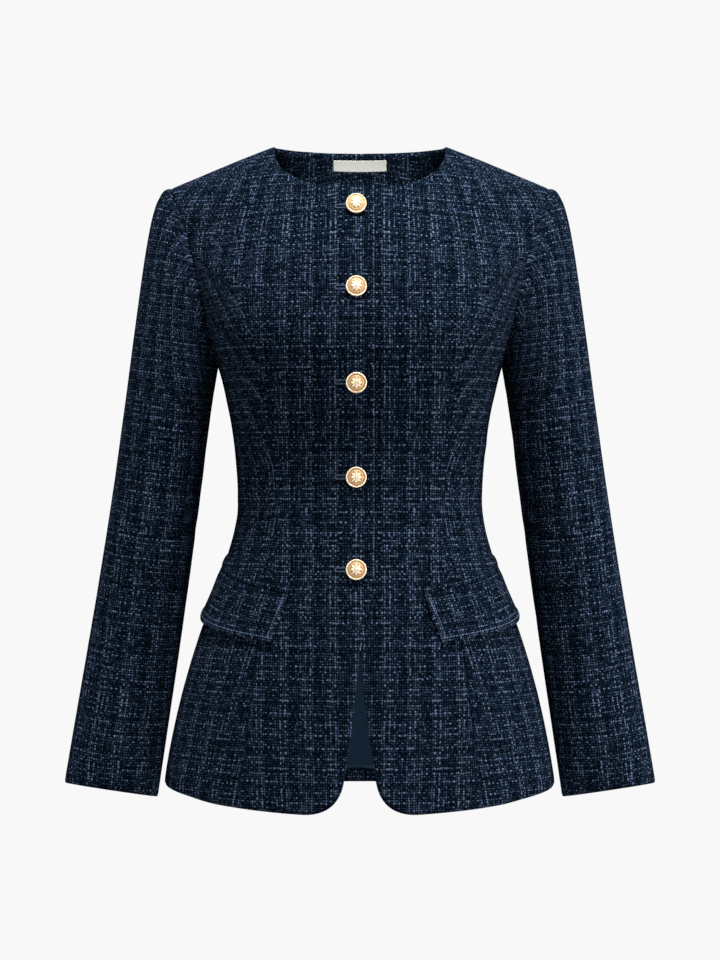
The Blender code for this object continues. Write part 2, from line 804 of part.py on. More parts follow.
def add_sleeves():
    outer = sleeve_grid()
    round_step = np.roll(outer, -1, axis=1) - np.roll(outer, 1, axis=1)
    normal = np.cross(round_step, np.gradient(outer, axis=0))
    normal = normal / np.linalg.norm(normal, axis=-1, keepdims=True)
    inner = outer - normal * CLOTH
    for name, mirrored in (("sleeve_left", False), ("sleeve_right", True)):
        add_object(name, wall_mesh(name, outer, inner, closed=True, mirrored=mirrored), TWEED)


# Pockets


def chart_at_qz(q, z):
    """(q, t) of the form at a place round the body and a height."""
    q = np.asarray(q, float)
    t = halved(lambda t: form(q, t)[..., 2] - z, np.zeros_like(q), np.full_like(q, RIDGE / 2))
    return np.stack([q, t], axis=-1)


def pocket_line(front, back, count):
    """A straight edge of the pocket, from an x, z place on the front to a q, z place past the side."""
    q = np.linspace(float(chart_at_xz(*front)[0]), back[0], count + 1)
    return q, np.linspace(front[1], back[1], count + 1)


def add_pockets():
    top_q, top_z = pocket_line(FLAP_FRONT_TOP, FLAP_BACK_TOP, FLAP_COLUMNS)
    low_q, low_z = pocket_line(FLAP_FRONT_BOTTOM, FLAP_BACK_BOTTOM, FLAP_COLUMNS)
    down = np.linspace(1, 0, FLAP_ROWS + 1)[:, None]
    flap = chart_at_qz(top_q + (low_q - top_q) * down, top_z + (low_z - top_z) * down)
    rest = FLAP_REST + FLAP_STANDS_OUT * down**FLAP_BEND + 0 * top_q
    thick = JET_CLOTH + (FLAP_CLOTH - JET_CLOTH) * down + 0 * top_q
    strip = np.array((SEAM_GAP, JET_HEIGHT))[:, None]
    jet = chart_at_qz(top_q + 0 * strip, top_z + strip)
    for side, mirrored in (("left", False), ("right", True)):
        inner = grid_on_form(flap, rest)[0]
        outer = grid_on_form(flap, rest + thick)[0]
        add_object(f"flap_{side}", wall_mesh(f"flap_{side}", outer, inner, mirrored=mirrored), TWEED)
        inner = grid_on_form(jet, FLAP_REST)[0]
        outer = grid_on_form(jet, FLAP_REST + JET_CLOTH)[0]
        name = f"pocket_jet_{side}"
        add_object(name, wall_mesh(name, outer, inner, mirrored=mirrored), TWEED)


# Buttons


def button_mesh():
    """A shank button turned from its profile, with its axis along Z and the lower front at height 0."""
    under = FRONT_LIFT + BUTTON_STAND
    profile = [(0, SHANK_END), (SHANK_RADIUS, SHANK_END), (SHANK_RADIUS, under)]
    profile += [(radius, under + height) for radius, height in BUTTON_FACE]
    turned = bmesh.new()
    points = [turned.verts.new((r * MM, 0, h * MM)) for r, h in profile]
    lines = [turned.edges.new(pair) for pair in zip(points, points[1:])]
    bmesh.ops.spin(
        turned,
        geom=points + lines,
        cent=(0, 0, 0),
        axis=(0, 0, 1),
        angle=2 * math.pi,
        steps=BUTTON_SEGMENTS,
        use_merge=True,
    )
    bmesh.ops.remove_doubles(turned, verts=turned.verts, dist=1e-6)
    bmesh.ops.recalc_face_normals(turned, faces=turned.faces)
    mesh = bpy.data.meshes.new("button")
    turned.to_mesh(mesh)
    turned.free()
    return mesh


def add_buttons():
    for number, z in enumerate(BUTTON_HEIGHTS, 1):
        button = add_object(f"button_{number}", button_mesh(), GILT_BRASS)
        button.matrix_world = button_frame(z)


def main():
    for thing in list(bpy.data.objects):
        bpy.data.objects.remove(thing)
    add_fronts()
    add_sides()
    add_back()
    add_sleeves()
    add_pockets()
    add_buttons()


main()
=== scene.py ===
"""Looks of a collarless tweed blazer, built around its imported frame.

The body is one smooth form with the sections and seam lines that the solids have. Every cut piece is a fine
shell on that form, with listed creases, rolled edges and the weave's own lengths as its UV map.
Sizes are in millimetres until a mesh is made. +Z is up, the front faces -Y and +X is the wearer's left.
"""

import logging
import math
from dataclasses import dataclass, field
from enum import Enum
from functools import partial
from typing import Any, Callable, NamedTuple, Optional, Sequence

import bpy
import numpy as np
from mathutils import Matrix, Vector

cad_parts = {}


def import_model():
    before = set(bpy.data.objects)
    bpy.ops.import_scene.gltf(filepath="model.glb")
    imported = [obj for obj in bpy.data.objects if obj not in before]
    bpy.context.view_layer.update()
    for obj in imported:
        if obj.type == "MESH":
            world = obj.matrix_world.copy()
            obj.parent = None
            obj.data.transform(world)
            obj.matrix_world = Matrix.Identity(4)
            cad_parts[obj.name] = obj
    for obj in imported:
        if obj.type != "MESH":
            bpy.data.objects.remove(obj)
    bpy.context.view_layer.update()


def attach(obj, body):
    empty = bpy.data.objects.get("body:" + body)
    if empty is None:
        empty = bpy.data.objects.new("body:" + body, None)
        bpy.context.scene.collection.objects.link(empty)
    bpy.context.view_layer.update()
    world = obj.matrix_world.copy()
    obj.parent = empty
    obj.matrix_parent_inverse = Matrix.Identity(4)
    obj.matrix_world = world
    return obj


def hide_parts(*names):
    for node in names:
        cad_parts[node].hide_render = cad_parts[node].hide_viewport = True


LOG = logging.getLogger("blazer")
Array = np.ndarray
# Places and outward directions in metres, and whether the path is a ring
Path = tuple[Array, Array, bool]

MM = 0.001
BODY = "root"
WEAVE_UV = "weave"
RECESS = "recess"
EDGE_HIGHLIGHT = "edge_highlight"
OUTWARD = "outward"
NEARLY_ONE = 0.99999
HAIR = 1e-9
HALVINGS = 44
DRAG_ENDS = 0.3
MIRROR = np.array((-1, 1, 1))
MATHS = "ShaderNodeMath"
VECTOR = "ShaderNodeVectorMath"
NOISE = "ShaderNodeTexNoise"
RAMP = "ShaderNodeValToRGB"


class Slot(Enum):
    """Material slots of the record."""

    TWEED = "tweed"
    LINING = "lining"
    LABEL = "label"
    GILT = "gilt"


class Side(Enum):
    """Which half of the blazer a piece is on, as the sign of X."""

    LEFT = 1
    RIGHT = -1

    @property
    def word(self) -> str:
        """The ending of the names of this side's pieces."""
        return self.name.lower()


class Held(Enum):
    """How a piece of cloth is held."""

    HUNG = "hung"
    LAID = "laid"


class CreaseKind(Enum):
    """A drag line fades out at both ends, and a flute opens from its start to its end."""

    DRAG = 0
    FLUTE = 1


# Form tables, with the same rows as the solids


class Section(NamedTuple):
    """One row of the body form. A squareness of 2 is an ellipse and more is boxier."""

    centre_z: float
    side_z: float
    half_width: float
    side_y: float
    front_depth: float
    back_depth: float
    squareness: float


class SeamPoint(NamedTuple):
    """A place on a seam, by its height and its distance from the centre line."""

    z: float
    x: float


class SleeveRing(NamedTuple):
    """One ring of the sleeve, by its centre and its half sizes across and from front to back."""

    z: float
    x: float
    y: float
    half_width: float
    half_depth: float


class CapPull(NamedTuple):
    """How a line of the sleeve head leaves the armhole and joins the first ring."""

    outward: float
    upward: float
    leave: float
    arrive: float


class Crease(NamedTuple):
    """A soft ridge, or a trough where the depth is negative, from one place of a piece to another.

    Across is measured round the body from centre front, or round the sleeve from its top line.
    """

    across: float
    z: float
    end_across: float
    end_z: float
    width: float
    depth: float
    bow: float
    kind: CreaseKind


def seam(*rows: tuple[float, float]) -> tuple[SeamPoint, ...]:
    """A seam from the rows of its table, rising."""
    return tuple(SeamPoint(*row) for row in rows)


def creases(kind: CreaseKind, *rows: tuple) -> tuple[Crease, ...]:
    """Creases of one kind from the rows of their table."""
    return tuple(Crease(*row, kind) for row in rows)


BODY_SECTIONS = (
    Section(-672, -672, 197.5, 0, 139, 124, 2.20),
    Section(-612, -612, 191.0, 0, 134, 122, 2.20),
    Section(-552, -552, 179.0, 0, 128, 118, 2.20),
    Section(-492, -492, 161.5, 0, 121, 112, 2.25),
    Section(-432, -432, 140.0, 0, 112, 102, 2.30),
    Section(-372, -372, 123.2, 0, 104, 91, 2.35),
    Section(-312, -312, 124.2, 0, 106, 89, 2.40),
    Section(-252, -252, 133.5, 0, 121, 97, 2.50),
    Section(-192, -194, 150.0, 0, 131, 104, 2.60),
    Section(-140, -155, 164.0, 0, 120, 105, 2.60),
    Section(-95, -128, 174.0, 1, 103, 98, 2.60),
    Section(-50, -98, 184.0, 3, 79, 84, 2.60),
    Section(-17, -74, 198.0, 5, 58, 68, 2.60),
    Section(6, -59, 209.0, 6, 35, 46, 2.60),
    Section(18, -54.5, 213.5, 6, 17, 23, 2.60),
    Section(23, -53, 215.0, 6, 0, 0, 2.60),
)
FRONT_SEAM = seam(
    (-672, 121.0), (-578, 109.5), (-495, 98.5), (-413, 83.0), (-360, 81.0), (-320, 85.0), (-286, 87.0),
    (-250, 91.5), (-190, 106.0), (-150, 127.0), (-112, 166.0),
)
BACK_SEAM = seam(
    (-672, 124.0), (-578, 113.0), (-495, 102.0), (-413, 87.0), (-360, 83.0), (-320, 88.0),
    (-250, 104.0), (-190, 124.0), (-150, 143.0), (-118, 168.0),
)
FRONT_ARMHOLE = seam(
    (-150, 157.0), (-136, 160.5), (-110, 166.5), (-84, 173.5), (-66, 180.0), (-51, 186.5), (-42, 188.5),
)
BACK_ARMHOLE = seam(
    (-150, 160.0), (-118, 168.0), (-84, 176.0), (-66, 182.0), (-51, 187.0), (-42, 188.5),
)
SLEEVE_RINGS = (
    SleeveRing(-262, 192.0, 2, 43.0, 61),
    SleeveRing(-354, 204.5, 6, 43.6, 57),
    SleeveRing(-454, 219.0, 4, 44.8, 52),
    SleeveRing(-554, 234.0, -6, 46.0, 46),
    SleeveRing(-641, 247.0, -20, 46.8, 41),
)
CAP_TOP = CapPull(1.0, 0.05, 21.0, 185.0)
CAP_UNDERARM = CapPull(0.12, -1.0, 10.0, 22.0)

# Creases of the body, across from centre front to centre back at 380

LEFT_CREASES = creases(
    CreaseKind.FLUTE,
    (44, -500, 52, -660, 14, -1.3, 2), (76, -520, 84, -660, 13, 1.2, -2),
    (104, -478, 112, -660, 11, -2.0, 3), (140, -486, 150, -660, 24, 3.4, 4),
    (186, -500, 192, -650, 17, -2.4, -3), (224, -492, 228, -650, 21, 2.8, 3),
    (262, -480, 270, -655, 16, -2.2, 2), (304, -470, 310, -660, 24, 2.6, -4),
    (348, -486, 352, -660, 18, -1.8, 2),
) + creases(
    CreaseKind.DRAG,
    (70, -322, 150, -340, 7, -1.0, 4), (96, -352, 178, -360, 8, -1.3, -3),
    (84, -372, 150, -392, 7, 0.9, 3), (110, -300, 186, -296, 9, 1.0, 4),
    (206, -340, 300, -332, 9, -1.4, 5), (196, -366, 280, -376, 8, 1.0, -4),
    (230, -306, 320, -316, 10, -1.0, 3), (58, -238, 112, -262, 11, -1.2, -4),
    (84, -168, 122, -122, 12, -1.3, 5), (66, -152, 104, -104, 13, 1.0, 4),
    (126, -238, 168, -222, 9, -1.2, 3), (110, -262, 172, -248, 9, 0.9, -3),
    (262, -150, 300, -210, 14, -1.6, 5), (286, -120, 330, -190, 16, 1.2, 4),
)
RIGHT_CREASES = creases(
    CreaseKind.FLUTE,
    (50, -510, 56, -660, 15, -1.5, -2), (82, -500, 92, -660, 12, 1.3, 2),
    (108, -484, 118, -660, 12, -1.8, -3), (148, -478, 156, -660, 22, 2.9, -4),
    (192, -505, 200, -650, 18, -2.2, 3), (232, -486, 236, -650, 20, 2.5, -3),
    (270, -484, 276, -655, 17, -2.3, 2), (312, -476, 320, -660, 22, 2.4, 3),
    (356, -490, 360, -660, 16, -1.5, -2),
) + creases(
    CreaseKind.DRAG,
    (62, -316, 138, -328, 8, -1.2, 3), (88, -340, 170, -352, 8, 1.0, 4),
    (104, -364, 182, -368, 7, -1.3, -4), (90, -292, 160, -300, 10, 0.9, -3),
    (210, -330, 290, -340, 9, -1.3, -4), (204, -360, 300, -364, 9, 1.1, 3),
    (240, -296, 316, -300, 10, -1.1, 4), (62, -244, 120, -256, 10, -1.1, 4),
    (92, -180, 124, -128, 11, -1.5, -5), (72, -160, 108, -112, 13, 1.1, 5),
    (130, -244, 170, -230, 9, -1.3, -3), (104, -270, 176, -258, 9, 0.8, 4),
    (258, -158, 304, -204, 14, -1.5, -5), (290, -124, 336, -184, 15, 1.3, -4),
)

# Creases of the sleeves, across from the top line: a quarter round is the front, a half is the underarm

LEFT_SLEEVE_CREASES = creases(
    CreaseKind.DRAG,
    (22, -92, 62, -190, 11, -1.5, 5), (44, -96, 88, -176, 10, 1.3, 4),
    (60, -150, 128, -216, 10, -1.8, -5), (96, -250, 160, -292, 11, -1.6, 5),
    (70, -268, 150, -322, 12, 1.3, -6), (66, -372, 150, -352, 9, -1.7, 6),
    (84, -402, 160, -386, 8, -1.9, -4), (60, -424, 140, -430, 11, 1.4, 5),
    (92, -448, 158, -470, 9, -1.5, 4), (18, -330, 56, -440, 15, 1.0, 6),
    (50, -520, 120, -560, 13, -1.1, 5), (30, -580, 96, -612, 12, 0.9, -4),
    (190, -388, 258, -404, 10, -1.6, 5), (200, -420, 270, -446, 11, 1.4, -5),
    (226, -190, 286, -122, 12, -1.5, 6), (206, -262, 272, -216, 13, 1.2, 5),
)
RIGHT_SLEEVE_CREASES = creases(
    CreaseKind.DRAG,
    (26, -98, 68, -200, 11, -1.4, -5), (50, -104, 92, -184, 10, 1.2, 5),
    (64, -160, 132, -222, 10, -1.7, 4), (92, -256, 156, -306, 11, -1.5, -5),
    (64, -282, 146, -330, 12, 1.2, 5), (70, -360, 154, -344, 9, -1.6, -5),
    (80, -392, 162, -382, 8, -1.8, 5), (56, -416, 136, -418, 11, 1.3, -4),
    (88, -440, 154, -458, 9, -1.6, -5), (20, -350, 52, -456, 15, 0.9, -6),
    (46, -536, 118, -548, 13, -1.2, 4), (34, -590, 100, -602, 12, 0.8, 5),
    (186, -380, 262, -396, 10, -1.5, -5), (196, -428, 268, -438, 11, 1.3, 5),
    (222, -200, 290, -132, 12, -1.4, -6), (202, -270, 276, -224, 13, 1.1, -5),
)
BODY_CREASES = {Side.LEFT: LEFT_CREASES, Side.RIGHT: RIGHT_CREASES}
SLEEVE_CREASES = {Side.LEFT: LEFT_SLEEVE_CREASES, Side.RIGHT: RIGHT_SLEEVE_CREASES}

# Small maths


def smooth(places: Sequence[float], values: Any, at: Array) -> Array:
    """Reads a table between its rows, on cubics whose slopes come from the neighbouring rows.

    Args:
        places: where the rows are, rising
        values: one value or one list of values for each row
        at: where to read

    Returns:
        The values there.
    """
    places = np.asarray(places, float)
    values = np.asarray(values, float)
    at = np.clip(at, places[0], places[-1])
    slopes = np.gradient(values, places, axis=0)
    row = np.clip(np.searchsorted(places, at, side="right") - 1, 0, len(places) - 2)
    width = places[row + 1] - places[row]
    f = (at - places[row]) / width
    if values.ndim > 1:
        width = width[..., None]
        f = f[..., None]
    start = (1 + 2 * f) * (1 - f) ** 2 * values[row] + f * (1 - f) ** 2 * width * slopes[row]
    end = f * f * (3 - 2 * f) * values[row + 1] + f * f * (f - 1) * width * slopes[row + 1]
    return start + end


def eased(f: Any) -> Array:
    """A soft step from 0 to 1."""
    f = np.clip(f, 0, 1)
    return f * f * (3 - 2 * f)


def halved(test: Callable[[Array], Array], low: Array, high: Array) -> Array:
    """Where a rising test crosses zero between low and high, by halving."""
    for _ in range(HALVINGS):
        middle = (low + high) / 2
        under = test(middle) < 0
        low = np.where(under, middle, low)
        high = np.where(under, high, middle)
    return (low + high) / 2


def seam_x(places: tuple[SeamPoint, ...], z: Array) -> Array:
    """A seam's distances from the centre line at heights."""
    return smooth([place.z for place in places], [place.x for place in places], z)


def opposite(k: Array, squareness: Any) -> Array:
    """The other share of a rounded square's outline, where one share is k."""
    return (1 - k**squareness) ** (1 / squareness)


def quarter_share(across: Array, ahead: Array) -> Array:
    """How far round a quarter turn a direction is, from 0 ahead to 1 across."""
    return np.arctan2(across, ahead) * 2 / math.pi


def unit(vectors: Array) -> Array:
    """The same directions with length 1."""
    return vectors / np.linalg.norm(vectors, axis=-1, keepdims=True)


def running_length(points: Array, axis: int) -> Array:
    """Lengths along one axis of a grid of points, from its first row or column."""
    steps = np.linalg.norm(np.diff(points, axis=axis), axis=-1)
    first = np.zeros_like(np.take(steps, [0], axis=axis))
    return np.concatenate([first, np.cumsum(steps, axis=axis)], axis=axis)


def rippled(a: Array, b: Array) -> Array:
    """A gentle uneven ripple between -1 and 1 over two lengths in millimetres."""
    slow = np.sin(a / 17.0 + 1.3 * np.sin(b / 41.0)) * np.sin(b / 23.0 + 0.7 * np.sin(a / 37.0))
    quick = np.sin(a / 7.1 + b / 11.3 + 2.0) * np.sin(b / 8.3 - a / 19.0)
    return 0.65 * slow + 0.35 * quick


def edge_shares(count: int, rims: Sequence[float]) -> Array:
    """Shares from 0 to 1 that are even inside and have close rows beside both ends.

    Args:
        count: even steps between the last close rows
        rims: shares of the close rows beside an end, rising

    Returns:
        The shares, rising.
    """
    rims = np.asarray(rims)
    inside = np.linspace(rims[-1], 1 - rims[-1], count + 1)
    return np.concatenate([[0], rims[:-1], inside, 1 - rims[-2::-1], [1]])


def crease_relief(placed: Sequence[Crease], across: Array, z: Array) -> Array:
    """How far creases lift cloth off its smooth form.

    Args:
        placed: the ridges and troughs
        across: each point's place round the piece
        z: each point's height

    Returns:
        The lift of each point.
    """
    lift = np.zeros_like(z)
    for crease in placed:
        run = np.array((crease.end_across - crease.across, crease.end_z - crease.z))
        length = float(np.hypot(*run))
        run = run / length
        da = across - crease.across
        dz = z - crease.z
        along = (da * run[0] + dz * run[1]) / length
        within = np.clip(along, 0, 1)
        off = da * run[1] - dz * run[0] - 4 * crease.bow * within * (1 - within)
        past = (along - within) * length
        if crease.kind is CreaseKind.FLUTE:
            strength = eased(within)
            past = np.minimum(past, 0)
        else:
            strength = DRAG_ENDS + (1 - DRAG_ENDS) * np.sin(math.pi * within)
        lift += crease.depth * strength * np.exp(-(off**2 + past**2) / crease.width**2)
    return lift


# Form and pattern


@dataclass(frozen=True)
class BodyForm:
    """The smooth form under the body pieces.

    A place on it is a chart pair: q is 0 at centre front, 1 at the side and 2 at centre back, and t counts
    the sections upwards.
    """

    sections: tuple = BODY_SECTIONS
    bust_fullness: float = 7.0
    bust_x: float = 92.0
    bust_z: float = -200.0
    bust_reach: float = 55.0
    tilt_ease: float = 0.2
    probe: float = 1e-3

    @property
    def ridge(self) -> int:
        """The section on top of the shoulders."""
        return len(self.sections) - 1

    def section(self, t: Any) -> Section:
        """The section at row t, with the rows past the shoulder ridge folded over it."""
        below = self.sections[self.ridge - 1]
        folded = below._replace(front_depth=-below.front_depth, back_depth=-below.back_depth)
        table = np.array(self.sections + (folded,))
        read = smooth(np.arange(len(table)), table, np.asarray(t, float))
        return Section(*np.moveaxis(read, -1, 0))

    def height(self, s: Section, k: Array) -> Array:
        """Height of a section at k of its half width, falling from the centre to the side."""
        ease = self.tilt_ease
        fall = (np.sqrt(k * k + ease * ease) - ease) / (math.sqrt(1 + ease * ease) - ease)
        return s.centre_z + (s.side_z - s.centre_z) * fall

    def point(self, chart: Array) -> Array:
        """Places of chart pairs on the form."""
        q = chart[..., 0]
        t = chart[..., 1]
        over = t > self.ridge
        q = np.where(over, np.sign(q) * (2 - np.abs(q)), q)
        s = self.section(np.where(over, 2 * self.ridge - t, t))
        behind = np.abs(q) > 1
        angle = np.where(behind, 2 - np.abs(q), np.abs(q)) * math.pi / 2
        n = s.squareness
        sine = np.sin(angle)
        cosine = np.cos(angle)
        r = (np.abs(sine) ** n + cosine**n) ** (-1 / n)
        x = s.half_width * r * sine
        z = self.height(s, r * sine)
        reach = self.bust_reach
        bust = np.exp(-(((x - self.bust_x) / reach) ** 2) - ((z - self.bust_z) / reach) ** 2)
        front = s.side_y - (s.front_depth + self.bust_fullness * bust) * r * cosine
        y = np.where(behind, s.side_y + s.back_depth * r * cosine, front)
        return np.stack([np.where(q < 0, -x, x), y, z], axis=-1)

    def outward(self, chart: Array) -> Array:
        """Outward directions of the form at chart pairs."""
        round_step, up_step = (self.point(chart + d) - self.point(chart - d) for d in np.eye(2) * self.probe)
        return unit(np.cross(round_step, up_step))

    def at_xz(self, x: Any, z: Any, behind: bool = False) -> Array:
        """Chart pairs at distances from the centre line and heights."""
        x = np.asarray(x, float)
        z = np.asarray(z, float) + 0 * x

        def across(s: Section) -> Array:
            """Share of the half width."""
            return np.clip(np.abs(x) / s.half_width, 0, NEARLY_ONE)

        def above(t: Array) -> Array:
            """Height over the wanted one."""
            s = self.section(t)
            return self.height(s, across(s)) - z

        t = halved(above, np.zeros_like(z), np.full_like(z, self.ridge))
        s = self.section(t)
        k = across(s)
        q = quarter_share(k, opposite(k, s.squareness))
        q = 2 - q if behind else q * np.where(x < 0, -1, 1)
        return np.stack([q, t], axis=-1)

    def at_yz(self, y: Array, z: Array, behind: bool = False) -> Array:
        """Chart pairs at depths and heights, for places near the side."""

        def along(s: Section) -> Array:
            """Share of the depth."""
            depth = s.back_depth if behind else s.front_depth
            return np.clip(np.abs(y - s.side_y) / depth, 0, NEARLY_ONE)

        def above(t: Array) -> Array:
            """Height over the wanted one."""
            s = self.section(t)
            k = opposite(along(s), s.squareness)
            return self.height(s, k) - z

        t = halved(above, np.zeros_like(z), np.full_like(z, self.ridge - 1.0))
        s = self.section(t)
        c = along(s)
        q = quarter_share(opposite(c, s.squareness), c)
        return np.stack([2 - q if behind else q, t], axis=-1)

    def at_qz(self, q: Array, z: Array) -> Array:
        """Chart pairs at places round the body and heights."""
        q = np.asarray(q, float)
        low = np.zeros_like(q)
        t = halved(lambda t: self.point(np.stack([q, t], axis=-1))[..., 2] - z, low, low + self.ridge / 2)
        return np.stack([q, t], axis=-1)

    def spaced(self, chart: Array, shares: Array) -> Array:
        """Places on a chart line at shares of its length."""
        lengths = running_length(self.point(chart), 0)
        at = np.asarray(shares) * lengths[-1]
        return np.stack([np.interp(at, lengths, chart[:, i]) for i in range(2)], axis=-1)


@dataclass(frozen=True)
class Pattern:
    """Seam and edge lines on the form, and the panels cut between them, as chart grids."""

    form: BodyForm
    neck_half_width: float = 85.5
    front_neck_drop: float = 50.0
    neck_squareness: float = 2.4
    shoulder_tip_x: float = 188.0
    front_extension: float = 13.5
    cutaway_start_z: float = -425.0
    cutaway_slope: float = 0.146
    cutaway_bow: float = 2.4
    cutaway_bow_at: float = 80.0
    cutaway_bow_width: float = 40.0
    hem_corner: float = 34.0
    side_hem_z: float = -633.0
    front_hem_drop: float = 20.0
    back_hem_drop: float = 16.0
    hem_power: float = 1.5
    underarm_z: float = -216.0
    armhole_join_z: float = -150.0
    front_notch_z: float = -112.0
    back_notch_z: float = -118.0
    level_above_z: float = -600.0
    level_below_z: float = -250.0
    neck_share: float = 0.6
    hem_shapes_to: float = 0.15
    top_shapes_from: float = 0.6
    underarm_shapes_from: float = 0.4
    line_points: int = 160
    columns: Array = field(default_factory=lambda: edge_shares(48, (0.008, 0.02)))
    side_columns: Array = field(default_factory=lambda: edge_shares(60, (0.004, 0.01)))
    seam_rows: Array = field(default_factory=lambda: edge_shares(150, (0.0015, 0.004)))
    armhole_rows: Array = field(default_factory=lambda: edge_shares(20, (0.01, 0.03)))

    @property
    def notch_row(self) -> int:
        """The row of a panel where its seam meets the armhole."""
        return len(self.seam_rows) - 1

    def hem_z(self, q: Any) -> Array:
        """Height of the hem round the body."""
        q = np.asarray(q, float)
        drop = np.where(np.abs(q) > 1, self.back_hem_drop, self.front_hem_drop)
        return self.side_hem_z - drop * np.abs(np.cos(q * math.pi / 2)) ** self.hem_power

    def hem_line(self, q_from: float, q_to: float) -> Array:
        """The hem between two places round the body."""
        q = np.linspace(q_from, q_to, self.line_points)
        return self.form.at_qz(q, self.hem_z(q))

    def front_edge_x(self, z: Any) -> Array:
        """The front edge, past centre front above the cut-away and back from it below."""
        below = np.maximum(0, self.cutaway_start_z - np.asarray(z, float))
        bow = self.cutaway_bow * np.exp(-(((below - self.cutaway_bow_at) / self.cutaway_bow_width) ** 2))
        return -self.front_extension + self.cutaway_slope * below + bow * (below > 0)

    def front_corner(self) -> Array:
        """The rounded lower corner of a front as x, z points, from the edge round to the hem."""
        bottom = float(self.hem_z(0.0))
        edge = float(self.front_edge_x(bottom))
        top = np.array([self.front_edge_x(bottom + self.hem_corner), bottom + self.hem_corner])
        q_end = float(self.form.at_xz(edge + self.hem_corner, bottom)[0])
        end = np.array([edge + self.hem_corner, float(self.hem_z(q_end))])
        corner = np.array([edge, end[1]])
        f = np.linspace(0, 1, self.line_points + 1)[:, None]
        return (1 - f) ** 2 * top + 2 * f * (1 - f) * corner + f * f * end

    def shoulder_line(self, behind: bool) -> Array:
        """The shoulder seam from the neck point to the tip."""
        top = self.form.sections[-1]
        x = np.linspace(self.neck_half_width, self.shoulder_tip_x, self.line_points)
        k = x / top.half_width
        q = quarter_share(k, opposite(k, top.squareness))
        return np.stack([2 - q if behind else q, np.full_like(q, self.form.ridge)], axis=-1)

    def top_line(self, behind: bool) -> Array:
        """Neckline and shoulder seam of a front or half back, from the centre outwards."""
        start = 0.0 if behind else -self.front_extension
        f = np.linspace(0, 1, self.line_points)
        x = start + (self.neck_half_width - start) * np.sin(f * math.pi / 2)
        share = np.clip(np.abs(x) / self.neck_half_width, 0, 1) ** self.neck_squareness
        drop = 0.0 if behind else self.front_neck_drop
        neck = self.form.at_xz(x, -drop * (1 - share) ** (1 / self.neck_squareness), behind)
        shoulder = self.shoulder_line(behind)
        neck[-1] = shoulder[0]
        in_neck = self.columns <= self.neck_share + HAIR
        near = self.columns[in_neck] / self.neck_share
        far = (self.columns[~in_neck] - self.neck_share) / (1 - self.neck_share)
        return np.concatenate([self.form.spaced(neck, near), self.form.spaced(shoulder, far)])

    def armhole_side(self, behind: bool) -> Array:
        """Half the armhole from the tip down to the underarm."""
        table = BACK_ARMHOLE if behind else FRONT_ARMHOLE
        z = np.linspace(table[-1].z, self.armhole_join_z, self.line_points)
        x = seam_x(table, z)
        upper = self.form.at_xz(x, z, behind)
        upper[0] = self.shoulder_line(behind)[-1]
        join = self.form.point(upper[-1])
        angle = np.linspace(0, math.pi / 2, self.line_points)[1:]
        y = join[1] * np.cos(angle)
        lower_z = self.armhole_join_z + (self.underarm_z - self.armhole_join_z) * np.sin(angle)
        return np.concatenate([upper, self.form.at_yz(y, lower_z, behind)])

    def armhole_rise(self, behind: bool) -> Array:
        """The armhole from the notch up to the tip."""
        notch_z = self.back_notch_z if behind else self.front_notch_z
        upper = self.armhole_side(behind)[: self.line_points][::-1]
        z = self.form.point(upper)[:, 2]
        heights = notch_z + (FRONT_ARMHOLE[-1].z - notch_z) * self.armhole_rows
        line = np.stack([np.interp(heights, z, upper[:, i]) for i in range(2)], axis=-1)
        line[-1] = upper[-1]
        return line

    def side_line(self, behind: bool) -> Array:
        """A panel's outer edge: its seam from hem to notch, then the armhole up to the tip."""
        line = BACK_SEAM if behind else FRONT_SEAM
        notch_z = self.back_notch_z if behind else self.front_notch_z
        low = self.form.at_xz(line[1].x, line[1].z, behind)
        hem = float(self.hem_z(low[0]))
        z = hem + (notch_z - hem) * self.seam_rows
        x = seam_x(line, z)
        return np.concatenate([self.form.at_xz(x, z, behind), self.armhole_rise(behind)[1:]])

    def level_rows(self, right: Array, low_z: float, top_z: float) -> Array:
        """Heights down a centre edge that keep the rows level between hem and bust."""
        z = self.form.point(right)[:, 2]
        known = [z[0], self.level_above_z, self.level_below_z, z[-1]]
        return np.interp(z, known, [low_z, self.level_above_z, self.level_below_z, top_z])

    def patch(self, left: Array, right: Array, bottom: Array, top: Array, u: Array, top_from: float) -> Array:
        """A chart grid that fills four edge lines, with rows from bottom to top.

        Args:
            left: the edge at the first column
            right: the edge at the last column
            bottom: the first row
            top: the last row
            u: each column's share of the way from left to right
            top_from: share of the height above which the top line shapes the rows

        Returns:
            Rows by columns of chart pairs.
        """
        v = (right[:, 1] - right[0, 1]) / (right[-1, 1] - right[0, 1])
        v = v[:, None, None]
        u = u[None, :, None]
        grid = (1 - u) * left[:, None] + u * right[:, None]
        hem_shape = bottom - (1 - u) * bottom[0] - u * bottom[-1]
        top_shape = top - (1 - u) * top[0] - u * top[-1]
        near_hem = 1 - eased(v / self.hem_shapes_to)
        return grid + near_hem * hem_shape + eased((v - top_from) / (1 - top_from)) * top_shape

    def front(self) -> Array:
        """The left front."""
        right = self.side_line(False)
        top = self.top_line(False)
        corner = self.front_corner()
        middle = len(corner) // 2
        top_z = float(self.form.point(top[0])[2])
        heights = self.level_rows(right, corner[middle, 1], top_z)
        edge = corner[: middle + 1][::-1]
        round_x = np.interp(heights, edge[:, 1], edge[:, 0])
        x = np.where(heights < edge[-1, 1], round_x, self.front_edge_x(heights))
        left = self.form.at_xz(x, heights)
        left[-1] = top[0]
        round_end = self.form.at_xz(corner[middle:, 0], corner[middle:, 1])
        hem = self.hem_line(round_end[-1, 0], right[0, 0])
        bottom = self.form.spaced(np.concatenate([round_end, hem[1:]]), self.columns)
        return self.patch(left, right, bottom, top, self.columns, self.top_shapes_from)

